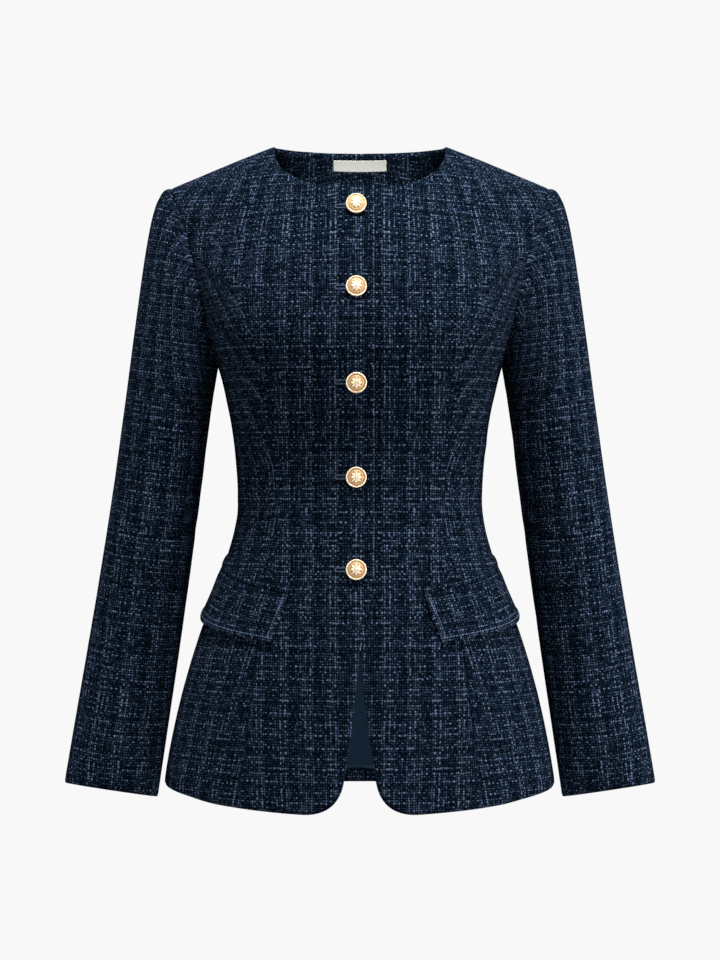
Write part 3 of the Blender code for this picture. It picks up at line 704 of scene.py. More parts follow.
    def half_back(self) -> Array:
        """The left half of the back, from centre back to its seam."""
        right = self.side_line(True)
        top = self.top_line(True)
        heights = self.level_rows(right, float(self.hem_z(2.0)), 0.0)
        left = self.form.at_xz(np.zeros_like(heights), heights, True)
        bottom = self.form.spaced(self.hem_line(2.0, right[0, 0]), self.columns)
        return self.patch(left, right, bottom, top, self.columns, self.top_shapes_from)

    def side(self) -> Array:
        """The left side panel, from the front seam round to the back seam."""
        left = self.side_line(False)[: self.notch_row + 1]
        right = self.side_line(True)[: self.notch_row + 1]
        front = self.armhole_side(False)
        back = self.armhole_side(True)
        front_z = self.form.point(front)[:, 2]
        back_z = self.form.point(back)[:, 2]
        down = np.concatenate([left[-1:], front[front_z < self.front_notch_z]])
        up = np.concatenate([right[-1:], back[back_z < self.back_notch_z]])[::-1]
        first = self.side_columns[self.side_columns <= 0.5]
        last = self.side_columns[self.side_columns > 0.5]
        top = np.concatenate([self.form.spaced(down, first * 2), self.form.spaced(up, last * 2 - 1)])
        bottom = self.form.spaced(self.hem_line(left[0, 0], right[0, 0]), self.side_columns)
        return self.patch(left, right, bottom, top, self.side_columns, self.underarm_shapes_from)

    def armhole_loop(self) -> tuple[Array, Array, int]:
        """The armhole from the tip down the front, under the arm and up the back.

        Returns:
            The places in order, the form's outward directions there, and the index of the underarm.
        """
        front = self.armhole_rise(False)[:0:-1]
        back = self.armhole_rise(True)[1:-1]
        side = self.side()[-1]
        chart = np.concatenate([front, side, back])
        points = self.form.point(chart)
        return points, self.form.outward(chart), len(front) + len(side) // 2


# Nodes and materials


def linear(colour: str) -> tuple[float, float, float, float]:
    """An sRGB hex colour as linear RGBA."""
    parts = [int(colour[i : i + 2], 16) / 255 for i in (1, 3, 5)]
    red, green, blue = (c / 12.92 if c <= 0.04045 else ((c + 0.055) / 1.055) ** 2.4 for c in parts)
    return red, green, blue, 1.0


def feed(node: bpy.types.Node, inputs: dict) -> None:
    """Sets or links a node's inputs.

    Args:
        node: the node
        inputs: input name or number to a value, an output socket, or a node, whose first output it takes
    """
    for name, value in inputs.items():
        if isinstance(value, bpy.types.Node):
            value = value.outputs[0]
        if isinstance(value, bpy.types.NodeSocket):
            node.id_data.links.new(value, node.inputs[name])
        else:
            node.inputs[name].default_value = value


def add_node(
    tree: bpy.types.NodeTree,
    kind: str,
    inputs: Optional[dict] = None,
    stops: Sequence[tuple] = (),
    **settings: Any,
) -> bpy.types.Node:
    """Adds a node with its settings and links.

    Args:
        tree: the node tree
        kind: the node's type name
        inputs: what its inputs take
        stops: positions and linear colours, for a node with a colour ramp
        settings: properties of the node

    Returns:
        The node.
    """
    node = tree.nodes.new(kind)
    for name, value in settings.items():
        setattr(node, name, value)
    for place, (position, colour) in enumerate(stops):
        ramp = node.color_ramp.elements
        stop = ramp[place] if place < len(ramp) else ramp.new(position)
        stop.position = position
        stop.color = colour
    feed(node, inputs or {})
    return node


def new_material(name: str, **sockets: Any) -> tuple[bpy.types.Material, Callable, bpy.types.Node]:
    """A material with values on its shader's own sockets.

    Args:
        name: the material's common name
        sockets: socket names, with underscores for spaces, to values

    Returns:
        The material, what adds a node to its tree, and its shader.
    """
    material = bpy.data.materials.new(name)
    material.use_nodes = True
    shader = material.node_tree.nodes["Principled BSDF"]
    feed(shader, {socket.replace("_", " "): value for socket, value in sockets.items()})
    return material, partial(add_node, material.node_tree), shader


@dataclass(frozen=True)
class BoucleTweed:
    """Loosely woven wool blend in navy with slate slub yarns.

    The eye sees rows of pale flecks where slate yarns pass over, painted shade in the pits between the yarns,
    and faint lines both ways that make a plaid. The surface is dull, with a little fuzz at a grazing angle.
    """

    # Colour of the painted shade in the pits between yarns
    pit_shade: str = "#000306"
    navy: str = "#08101a"
    slate: str = "#222e3e"
    fleck: str = "#4e5970"
    warp_pitch: float = 2.45
    weft_pitch: float = 2.5
    drift_every: float = 60.0
    drift: float = 2.0
    wobble_every: float = 4.6
    wobble: float = 2.3
    fibre: float = 1.3
    relief: float = 0.9
    # How much paler the painted highlight makes the edges
    edge_highlight: float = 0.55
    # How pale each yarn of the repeat is, across and along the cloth
    warp_yarns: tuple = (1.0, 0.52, 0.92, 0.46, 0.60, 0.52, 0.34, 0.40, 0.30, 0.58)
    weft_yarns: tuple = (0.92, 0.48, 0.62, 0.42, 0.80, 0.52, 0.34, 0.42, 0.88, 0.46, 0.56, 0.66, 0.32)

    def material(self) -> bpy.types.Material:
        """Builds the woven material on the piece's own lengths."""
        material, node, shader = new_material(
            "navy boucle tweed",
            Roughness=0.95,
            Specular_IOR_Level=0.0,
            Sheen_Weight=0.02,
            Sheen_Roughness=0.45,
            Sheen_Tint=linear("#5d7391"),
        )
        cloth = node("ShaderNodeUVMap", uv_map=WEAVE_UV)
        place = node(VECTOR, {0: cloth, 1: (1 / MM,) * 3}, operation="MULTIPLY")
        for every, amount in ((self.drift_every, self.drift), (self.wobble_every, self.wobble)):
            wave = node(NOISE, {"Vector": place, "Scale": 1 / every, "Detail": 1.0})
            place = node(VECTOR,
                {0: wave.outputs["Color"], 1: (amount, amount, 0), 2: place},
                operation="MULTIPLY_ADD",
            )
        yarns = node(VECTOR,
            {0: place, 1: (1 / self.warp_pitch, 1 / self.weft_pitch, 0)},
            operation="MULTIPLY",
        )
        cell = node(VECTOR, {0: yarns}, operation="FLOOR")
        part = node(VECTOR, {0: yarns}, operation="FRACTION")
        cell_xy = node("ShaderNodeSeparateXYZ", {0: cell})
        both = node(MATHS, {0: cell_xy.outputs[0], 1: cell_xy.outputs[1]}, operation="ADD")
        weft_over = node(MATHS, {0: both, 1: 2.0}, operation="FLOORED_MODULO")
        pale = []
        for axis, chart in enumerate((self.warp_yarns, self.weft_yarns)):
            count = len(chart)
            turn = node(MATHS, {0: cell_xy.outputs[axis], 1: count}, operation="FLOORED_MODULO")
            share = node(MATHS, {0: turn, 1: 1 / count, 2: 0.5 / count}, operation="MULTIPLY_ADD")
            stops = [(i / count, (value, value, value, 1)) for i, value in enumerate(chart)]
            ramp = node(RAMP, {0: share}, stops)
            ramp.color_ramp.interpolation = "CONSTANT"
            stretch = (0.9, 0.10, 1) if axis == 0 else (0.10, 0.9, 1)
            run = node(VECTOR, {0: yarns, 1: stretch}, operation="MULTIPLY")
            slub = node(NOISE, {"Vector": run, "Scale": 1.0, "Detail": 2.0})
            swell = node("ShaderNodeMapRange", {0: slub, 1: 0.3, 2: 0.7, 3: 0.6, 4: 1.4})
            pale.append(node(MATHS, {0: ramp, 1: swell}, operation="MULTIPLY"))
        top = node("ShaderNodeMix", {0: weft_over, 2: pale[0], 3: pale[1]}, data_type="FLOAT")
        chance = node("ShaderNodeTexWhiteNoise", {"Vector": cell}, noise_dimensions="2D")
        uneven = node(MATHS, {0: chance, 1: 1.0, 2: 0.5}, operation="MULTIPLY_ADD")
        # Each yarn is round across and dips at the ends of its float
        off = node(VECTOR, {0: part, 1: (0.5, 0.5, 0)}, operation="SUBTRACT")
        square = node(VECTOR, {0: off, 1: off}, operation="MULTIPLY")
        square_xy = node("ShaderNodeSeparateXYZ", {0: square})
        rounds = []
        for across, along in ((0, 1), (1, 0)):
            sides = node(MATHS, {0: square_xy.outputs[across], 1: -4.0, 2: 1.0}, operation="MULTIPLY_ADD")
            ends = node(MATHS, {0: square_xy.outputs[along], 1: -2.4, 2: 1.0}, operation="MULTIPLY_ADD")
            rounds.append(node(MATHS, {0: sides, 1: ends}, operation="MULTIPLY"))
        height = node("ShaderNodeMix", {0: weft_over, 2: rounds[0], 3: rounds[1]}, data_type="FLOAT")
        fuzz = node(NOISE, {"Vector": place, "Scale": 1 / self.fibre, "Detail": 3.0})
        fuzzed = node(MATHS, {0: fuzz, 1: 2.8, 2: -0.4}, operation="MULTIPLY_ADD")
        # Painted shade: the colour darkens with each yarn's height, into the pits between yarns and at the
        # ends of floats
        shaded = node(MATHS, {0: height, 1: fuzzed}, operation="MULTIPLY")
        amount = node(MATHS, {0: top, 1: uneven}, operation="MULTIPLY")
        # Painted highlight: the front edge and the flap rims are drawn paler, where light catches them
        edge = node("ShaderNodeAttribute", attribute_name=EDGE_HIGHLIGHT)
        highlight_gain = node(MATHS, {0: edge.outputs["Fac"], 1: self.edge_highlight, 2: 1.0}, operation="MULTIPLY_ADD")
        woven = node(MATHS, {0: amount, 1: shaded}, operation="MULTIPLY")
        value = node(MATHS, {0: woven, 1: highlight_gain}, operation="MULTIPLY")
        colours = ((0.03, self.pit_shade), (0.26, self.navy), (0.58, self.slate), (1.0, self.fleck))
        colour = node(RAMP, {0: value}, [(at, linear(c)) for at, c in colours])
        rough_height = node(MATHS, {0: fuzz, 1: 0.6, 2: height}, operation="MULTIPLY_ADD")
        bump = node("ShaderNodeBump",
            {"Height": rough_height, "Distance": self.relief * MM, "Strength": 0.7},
        )
        feed(shader, {"Base Color": colour, "Normal": bump})
        return material


@dataclass(frozen=True)
class Satin:
    """Warp-faced satin of fine yarns, calendered.

    The eye sees a soft sheen along the warp and a faint grain of fine lines.
    """

    name: str
    colour: str
    shade: str
    roughness: float
    yarn: float
    relief: float

    def material(self) -> bpy.types.Material:
        """Builds the satin on the piece's own lengths. The yarn is drawn coarser than real, to show."""
        material, node, shader = new_material(
            self.name, Roughness=self.roughness, Specular_IOR_Level=0.06, Sheen_Weight=0.01
        )
        cloth = node("ShaderNodeUVMap", uv_map=WEAVE_UV)
        grain = (1 / (self.yarn * MM), 1 / (9 * self.yarn * MM), 1)
        yarns = node(VECTOR, {0: cloth, 1: grain}, operation="MULTIPLY")
        lines = node(NOISE, {"Vector": yarns, "Scale": 1.0, "Detail": 2.0})
        stops = ((0.3, linear(self.shade)), (0.7, linear(self.colour)))
        colour = node(RAMP, {0: lines}, stops)
        bump = node("ShaderNodeBump", {"Height": lines, "Distance": self.relief * MM, "Strength": 0.4})
        feed(shader, {"Base Color": colour, "Normal": bump})
        return material


@dataclass(frozen=True)
class Thread:
    """Spun polyester sewing thread, twisted.

    The eye sees a dull strand with slanting lines of its twist.
    """

    name: str
    colour: str
    shade: str
    twist: float = 0.35

    def material(self) -> bpy.types.Material:
        """Builds the thread. Its twist is drawn on object coordinates."""
        material, node, shader = new_material(self.name, Roughness=0.7, Specular_IOR_Level=0.25)
        place = node("ShaderNodeTexCoord")
        twist = node(NOISE,
            {"Vector": place.outputs["Object"], "Scale": 1 / (self.twist * MM), "Detail": 1.0},
        )
        stops = ((0.35, linear(self.shade)), (0.65, linear(self.colour)))
        colour = node(RAMP, {0: twist}, stops)
        bump = node("ShaderNodeBump", {"Height": twist, "Distance": 0.1 * MM, "Strength": 0.5})
        feed(shader, {"Base Color": colour, "Normal": bump})
        return material


@dataclass(frozen=True)
class Gilt:
    """Die-struck brass with a pale gold plating, polished on the high places.

    The eye sees bright warm highlights on the relief and browner toned recesses.
    """

    bright: str = "#eadcc4"
    toned: str = "#a5835c"
    grain: float = 0.9

    def material(self) -> bpy.types.Material:
        """Builds the plating from the depth that the button's mesh carries."""
        material, node, shader = new_material("pale gilt brass", Metallic=1.0)
        depth = node("ShaderNodeAttribute", attribute_name=RECESS)
        place = node("ShaderNodeTexCoord")
        wear = node(NOISE,
            {"Vector": place.outputs["Object"], "Scale": 1 / (self.grain * MM), "Detail": 3.0},
        )
        toned = node(MATHS, {0: wear, 1: 0.7, 2: depth.outputs["Fac"]}, operation="MULTIPLY_ADD")
        stops = ((0.2, linear(self.bright)), (1.0, linear(self.toned)))
        colour = node(RAMP, {0: toned}, stops)
        rough = node("ShaderNodeMapRange", {0: toned, 1: 0.1, 2: 1.0, 3: 0.46, 4: 0.6})
        feed(shader, {"Base Color": colour, "Roughness": rough})
        return material


class Finishes:
    """One material of each finish on the blazer."""

    def __init__(self) -> None:
        """Builds every material once."""
        self.tweed = BoucleTweed().material()
        self.lining = Satin("navy lining satin", "#162c40", "#0c1c2b", 0.45, 0.5, 0.08).material()
        self.label = Satin("off-white label satin", "#bcbcb6", "#b0b0aa", 0.6, 0.45, 0.1).material()
        self.stitch = Thread("slate topstitch thread", "#5f7193", "#34425a").material()
        self.hole = Thread("navy buttonhole thread", "#33435a", "#141f2d").material()
        self.white = Thread("white label thread", "#cfcfc8", "#a9a9a2").material()
        self.gilt = Gilt().material()


# Cloth walls


class Cut(NamedTuple):
    """The flat rectangle that a piece is cut from and the area of the cut, in metres, and what holds it."""

    width: float
    length: float
    area: float
    held: Held
    rests_on: str


@dataclass
class ClothPiece:
    """A cut piece as a closed thin wall over a grid of outer places.

    Attributes:
        name: the piece, named as the solid that it stands for
        places: rows by columns of outer places
        outward: outward directions on the same grid
        thickness: the wall's, in millimetres
        start: row and column where the weave's lengths start
        level_to: height up to which the weave's rows are level, as in the start column
        centred: axis whose zero the weave's lengths across start from in every row
        closed: whether the last column joins the first
        side: a right piece is the mirrored left one
        roll: how far an edge rolls back, and over what distance
        pucker: height of the cloth's own unevenness
        opens_below: height under which the rolled edges deepen, as seams do over a flare
        edge_highlight: painted highlight near an edge, how much paler the cloth is drawn there, from 0 to 1
        opens_over: height over which the edges deepen
        opened_roll: how much more the deepened edges roll back, and how much further
        pucker_inside: share of the pucker that is left away from the edges
        pucker_reach: how far from an edge the pucker fades
    """

    name: str
    places: Array
    outward: Array
    thickness: float
    start: tuple[int, int] = (0, 0)
    level_to: Optional[float] = None
    centred: Optional[int] = None
    closed: bool = False
    side: Side = Side.LEFT
    roll: tuple[float, float] = (0.9, 1.5)
    opens_below: Optional[float] = None
    pucker: float = 0.25
    edge_highlight: Optional[Array] = None
    opens_over: float = 70.0
    opened_roll: tuple[float, float] = (2.0, 0.7)
    pucker_inside: float = 0.4
    pucker_reach: float = 9.0

    def lengths(self) -> tuple[Array, Array]:
        """Lengths across and along the cloth, from the weave's start."""
        points = self.places
        if self.closed:
            points = np.concatenate([points, points[:, :1]], axis=1)
        across = running_length(points, 1)
        along = running_length(points, 0)
        row, column = self.start
        along = along - along[row : row + 1]
        if self.level_to is not None:
            along = self.levelled(along, column)
        if self.centred is not None:
            x = self.places[..., self.centred]
            middle = [np.interp(0.0, x[i], across[i]) - max(x[i, 0], 0.0) for i in range(len(x))]
            return across - np.array(middle)[:, None], along
        return across - across[:, column : column + 1], along

    def levelled(self, along: Array, column: int) -> Array:
        """Lengths along the cloth that are equal at equal heights, up to the level height."""
        z = self.places[..., 2]
        length = np.interp(z, z[:, column], along[:, column])
        limits = (z[0, column], min(self.level_to, z[-1, column]))
        for c in range(z.shape[1]):
            for limit, beyond in zip(limits, (z[:, c] < limits[0], z[:, c] > limits[1])):
                wanted = np.interp(limit, z[:, column], along[:, column])
                offset = wanted - np.interp(limit, z[:, c], along[:, c])
                length[:, c] = np.where(beyond, along[:, c] + offset, length[:, c])
        return length

    def edge_distance(self) -> Array:
        """Each place's distance to the nearest edge of the piece."""
        along = running_length(self.places, 0)
        near = np.minimum(along, along[-1] - along)
        if not self.closed:
            across = running_length(self.places, 1)
            near = np.minimum(near, np.minimum(across, across[:, -1:] - across))
        return near

    def walls(self) -> tuple[Array, Array]:
        """The outer and inner places, with rolled edges and a slight pucker along them."""
        near = self.edge_distance()
        depth, reach = self.roll
        if self.opens_below is not None:
            opened = eased((self.opens_below - self.places[..., 2]) / self.opens_over)
            depth = depth * (1 + self.opened_roll[0] * opened)
            reach = reach * (1 + self.opened_roll[1] * opened)
        rolled = depth * np.exp(-((near / reach) ** 2))
        across, along = self.lengths()
        across = across[:, : near.shape[1]]
        along = along[:, : near.shape[1]]
        fade = self.pucker_inside + np.exp(-near / self.pucker_reach)
        puckered = self.pucker * rippled(across, along) * fade
        outer = self.places + self.outward * (puckered - rolled)[..., None]
        inner = self.places + self.outward * (puckered - self.thickness)[..., None]
        return outer, inner

    def mesh(self, faced: Any = True) -> bpy.types.Mesh:
        """The closed wall as a mesh with the weave's UV map.

        Args:
            faced: whether each cell of the inner face takes the outer cloth. The rest take the lining.

        Returns:
            The mesh, whose second material is the lining's.
        """
        outer, inner = self.walls()
        rows, columns = outer.shape[:2]
        flat = np.stack(self.lengths(), axis=-1) * MM
        last = columns if self.closed else columns - 1
        row, column = np.meshgrid(np.arange(rows - 1), np.arange(last), indexing="ij")
        row = row.ravel()
        column = column.ravel()
        corners = ((0, 0), (0, 1), (1, 1), (1, 0))
        index = np.stack([(row + i) * columns + (column + j) % columns for i, j in corners], axis=-1)
        uv = np.stack([flat[row + i, column + j] for i, j in corners], axis=1)
        second = rows * columns
        faces = [index, index[:, ::-1] + second]
        uvs = [uv, uv[:, ::-1]]
        for rim_index, rim_uv in self.rims(rows, columns, last, flat):
            faces.append(rim_index)
            uvs.append(rim_uv)
        faces = np.concatenate(faces)
        uvs = np.concatenate(uvs)
        points = np.concatenate([outer.reshape(-1, 3), inner.reshape(-1, 3)]) * MM
        if self.side is Side.RIGHT:
            points = points * MIRROR
            faces = faces[:, ::-1]
            uvs = uvs[:, ::-1]
        mesh = bpy.data.meshes.new(self.name)
        mesh.from_pydata(points.tolist(), [], faces.tolist())
        mesh.uv_layers.new(name=WEAVE_UV).data.foreach_set("uv", uvs.astype(np.float32).ravel())
        kinds = np.zeros(len(faces), np.int32)
        inner_faced = np.broadcast_to(faced, (rows - 1, last)).ravel()
        kinds[len(index) : 2 * len(index)] = np.where(inner_faced, 0, 1)
        mesh.polygons.foreach_set("material_index", kinds)
        # Painted highlight: the paler edges go to the tweed as a point attribute
        if self.edge_highlight is not None:
            highlight_values = np.tile(self.edge_highlight.ravel(), 2).astype(np.float32)
            mesh.attributes.new(EDGE_HIGHLIGHT, "FLOAT", "POINT").data.foreach_set("value", highlight_values)
        mesh.shade_smooth()
        return mesh

    def rims(self, rows: int, columns: int, last: int, flat: Array) -> list[tuple[Array, Array]]:
        """Faces and UVs of the edges between the outer and the inner side."""
        second = rows * columns
        across = np.arange(last + 1)
        up = np.arange(rows)
        edges = [(0 * across, across, True), (0 * across + rows - 1, across, False)]
        if not self.closed:
            edges += [(up, 0 * up, False), (up, 0 * up + columns - 1, True)]
        found = []
        for row, column, turned in edges:
            index = row * columns + column % columns
            here = index[:-1]
            there = index[1:]
            face = np.stack([here, there, there + second, here + second], axis=-1)
            uv = flat[row, column]
            uv = np.stack([uv[:-1], uv[1:], uv[1:], uv[:-1]], axis=1)
            found.append((face[:, ::-1], uv[:, ::-1]) if turned else (face, uv))
        return found


def add_piece(
    mesh: bpy.types.Mesh, name: str, slot: Slot, *materials: bpy.types.Material
) -> bpy.types.Object:
    """Puts a finished mesh in the scene, riding on the blazer.

    Args:
        mesh: the mesh, in place
        name: the piece's name
        slot: not used
        materials: the mesh's materials in order

    Returns:
        The object.
    """
    mesh.materials.clear()
    for material in materials:
        mesh.materials.append(material)
    piece = bpy.data.objects.new(name, mesh)
    bpy.context.scene.collection.objects.link(piece)
    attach(piece, BODY)
    LOG.info("%s: %d faces", name, len(mesh.polygons))
    return piece


def add_sheet(mesh: bpy.types.Mesh, node: str, slot: Slot, cut: Cut, *materials: bpy.types.Material) -> None:
    """Puts a piece of cloth in the place of its solid and hides the solid.

    Args:
        mesh: the mesh, in place
        node: the solid that it stands for
        slot: not used
        cut: not used
        materials: the mesh's materials in order
    """
    piece = add_piece(mesh, node + "_cloth", slot, *materials)
    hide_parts(node)


# Body


@dataclass
class Body:
    """Fronts, side panels, back and what lies inside the back."""

    pattern: Pattern
    finishes: Finishes
    cloth: float = 2.0
    seam_roll: tuple = (0.5, 1.0)
    facing_roll: tuple = (0.4, 1.0)
    lining_roll: tuple = (0.2, 1.0)
    inside_pucker: float = 0.1
    front_lift: float = 3.4
    # Painted highlight along the front edge: how pale at most, and how wide
    edge_highlight_peak: float = 0.8
    edge_highlight_width: float = 1.6
    edge_lip: float = 0.9
    edge_lip_width: float = 5.0
    under_edge_x: float = 17.0
    under_edge_width: float = 4.5
    under_edge_dip: float = 1.6
    under_edge_fade: float = 40.0
    lift_full_x: float = 18.0
    lift_none_x: float = 52.0
    calm_x: float = 16.0
    round_mm: float = 190.0
    waist_z: float = -352.0
    level_z: float = -120.0
    flare_z: float = -440.0
    facing_columns: int = 24
    facing_cloth: float = 1.5
    lining_cloth: float = 1.0
    lining_clear: float = 0.6
    fold_depth: float = 2.2
    fold_least: float = -0.5
    fold_every: float = 9.0
    fold_sway: float = 1.1
    fold_sway_every: float = 90.0
    folds_from_z: float = -300.0
    folds_open_over: float = 260.0
    inside_gap: float = 0.3
    neck_facing_share: float = 0.2
    hem_facing_z: float = -638.0
    front_cut: Cut = Cut(0.205, 0.665, 0.083, Held.HUNG, "shoulder seams")
    side_cut: Cut = Cut(0.290, 0.540, 0.107, Held.HUNG, "front and back seams")
    back_cut: Cut = Cut(0.390, 0.665, 0.170, Held.HUNG, "shoulder seams")
    neck_facing_cut: Cut = Cut(0.245, 0.105, 0.021, Held.LAID, "back")
    hem_facing_cut: Cut = Cut(0.245, 0.013, 0.0028, Held.LAID, "back")
    lining_cut: Cut = Cut(0.350, 0.565, 0.126, Held.HUNG, "back_neck_facing")

    def relief(self, chart: Array, points: Array, side: Side) -> Array:
        """Creases on a chart grid, which calm down at the front closing."""
        lift = crease_relief(BODY_CREASES[side], np.abs(chart[..., 0]) * self.round_mm, points[..., 2])
        behind = np.abs(chart[..., 0]) > 1
        calm = eased((np.abs(points[..., 0]) - self.calm_x) / (2 * self.calm_x))
        return lift * np.where(behind, 1, calm)

    def grid(self, chart: Array, side: Side) -> tuple[Array, Array]:
        """Creased places and outward directions of a chart grid."""
        form = self.pattern.form
        points = form.point(chart)
        outward = form.outward(chart)
        return points + outward * self.relief(chart, points, side)[..., None], outward

    def waist_row(self, points: Array, column: int) -> int:
        """The row at the waist in a column."""
        return int(np.argmin(np.abs(points[:, column, 2] - self.waist_z)))

    def dress(self, name: str, mesh: bpy.types.Mesh, cut: Cut) -> None:
        """Adds a piece of tweed, faced with tweed and lined with satin inside."""
        add_sheet(mesh, name, Slot.TWEED, cut, self.finishes.tweed, self.finishes.lining)

    def build_fronts(self) -> None:
        """Both fronts. The right one laps over the left."""
        chart = self.pattern.front()
        for side in Side:
            points, outward = self.grid(chart, side)
            edge = running_length(points, 1)
            buttoned = eased((points[..., 2] - self.pattern.cutaway_start_z) / self.under_edge_fade)
            if side is Side.RIGHT:
                away = (points[..., 0] - self.lift_full_x) / (self.lift_none_x - self.lift_full_x)
                lip = self.edge_lip * np.exp(-((edge / self.edge_lip_width) ** 2))
                points = points + outward * (self.front_lift * (1 - eased(away)) + lip)[..., None]
            else:
                off = (points[..., 0] - self.under_edge_x) / self.under_edge_width
                points = points - outward * (self.under_edge_dip * np.exp(-(off**2)) * buttoned)[..., None]
            centre = int(np.searchsorted(self.pattern.columns, self.pattern.neck_share - HAIR))
            name = f"front_{side.word}"
            piece = ClothPiece(name, points, outward, self.cloth, (self.waist_row(points, centre), centre))
            piece.side = side
            piece.level_to = self.level_z
            piece.centred = 0
            piece.opens_below = self.flare_z
            piece.roll = self.seam_roll
            # Painted highlight: the front edge is drawn paler, where light catches its rim
            piece.edge_highlight = self.edge_highlight_peak * np.exp(-((edge / self.edge_highlight_width) ** 2))
            faced = np.arange(points.shape[1] - 1) < self.facing_columns
            self.dress(name, piece.mesh(faced), self.front_cut)

    def build_sides(self) -> None:
        """Both side panels, round under the arm."""
        chart = self.pattern.side()
        middle = chart.shape[1] // 2
        for side in Side:
            points, outward = self.grid(chart, side)
            name = f"side_{side.word}"
            piece = ClothPiece(name, points, outward, self.cloth, (self.waist_row(points, middle), middle))
            piece.side = side
            piece.level_to = float(points[-1, middle, 2])
            piece.centred = 1
            piece.opens_below = self.flare_z
            piece.roll = self.seam_roll
            self.dress(name, piece.mesh(False), self.side_cut)

    def back_grid(self) -> tuple[Array, Array]:
        """The whole back from the wearer's left seam to the right."""
        chart = self.pattern.half_back()
        left, left_out = self.grid(chart, Side.LEFT)
        right, right_out = self.grid(chart, Side.RIGHT)
        points = np.concatenate([left[:, ::-1], right[:, 1:] * MIRROR], axis=1)
        outward = np.concatenate([left_out[:, ::-1], right_out[:, 1:] * MIRROR], axis=1)
        return points, outward

    def build_back(self) -> None:
        """The back, its neck and hem facings and its lining."""
        points, outward = self.back_grid()
        centre = points.shape[1] // 2
        start = (self.waist_row(points, centre), centre)
        piece = ClothPiece("back", points, outward, self.cloth, start, self.level_z, roll=self.seam_roll)
        self.dress("back", piece.mesh(False), self.back_cut)
        rise = self.pattern.armhole_rows
        neck_row = self.pattern.notch_row + int(np.searchsorted(rise, self.neck_facing_share))
        hem_row = int(np.searchsorted(points[:, centre, 2], self.hem_facing_z))
        shoulder = int(np.sum(self.pattern.columns > self.pattern.neck_share + HAIR))
        within = slice(shoulder, points.shape[1] - shoulder)
        inside = points - outward * (self.cloth + self.inside_gap)
        self.build_inside(
            "back_neck_facing", inside[neck_row:, within], outward[neck_row:, within], self.neck_facing_cut
        )
        self.build_inside(
            "back_hem_facing", inside[: hem_row + 1], outward[: hem_row + 1], self.hem_facing_cut
        )
        lining = slice(hem_row, neck_row + 1)
        self.build_lining(inside[lining], outward[lining])

    def build_inside(self, name: str, places: Array, outward: Array, cut: Cut) -> None:
        """A facing on the inner face of the back."""
        start = (len(places) // 2, places.shape[1] // 2)
        piece = ClothPiece(name, places, outward, self.facing_cloth, start, roll=self.facing_roll)
        piece.pucker = self.inside_pucker
        self.dress(name, piece.mesh(), cut)

    def build_lining(self, places: Array, outward: Array) -> None:
        """The satin inside the back, which falls in shallow folds of its own."""
        z = places[..., 2]
        low = eased((self.folds_from_z - z) / self.folds_open_over)
        sway = self.fold_sway * np.sin(z / self.fold_sway_every)
        folds = self.fold_depth * np.sin(places[..., 0] / self.fold_every + sway) * low
        places = places - outward * (self.lining_clear + np.maximum(folds, self.fold_least))[..., None]
        start = (len(places) // 2, places.shape[1] // 2)
        piece = ClothPiece("back_lining", places, outward, self.lining_cloth, start, roll=self.lining_roll)
        piece.pucker = self.inside_pucker
        add_sheet(piece.mesh(), piece.name, Slot.LINING, self.lining_cut, self.finishes.lining)

    def build(self) -> None:
        """Builds every body piece."""
        self.build_fronts()
        self.build_sides()
        self.build_back()


# Sleeves


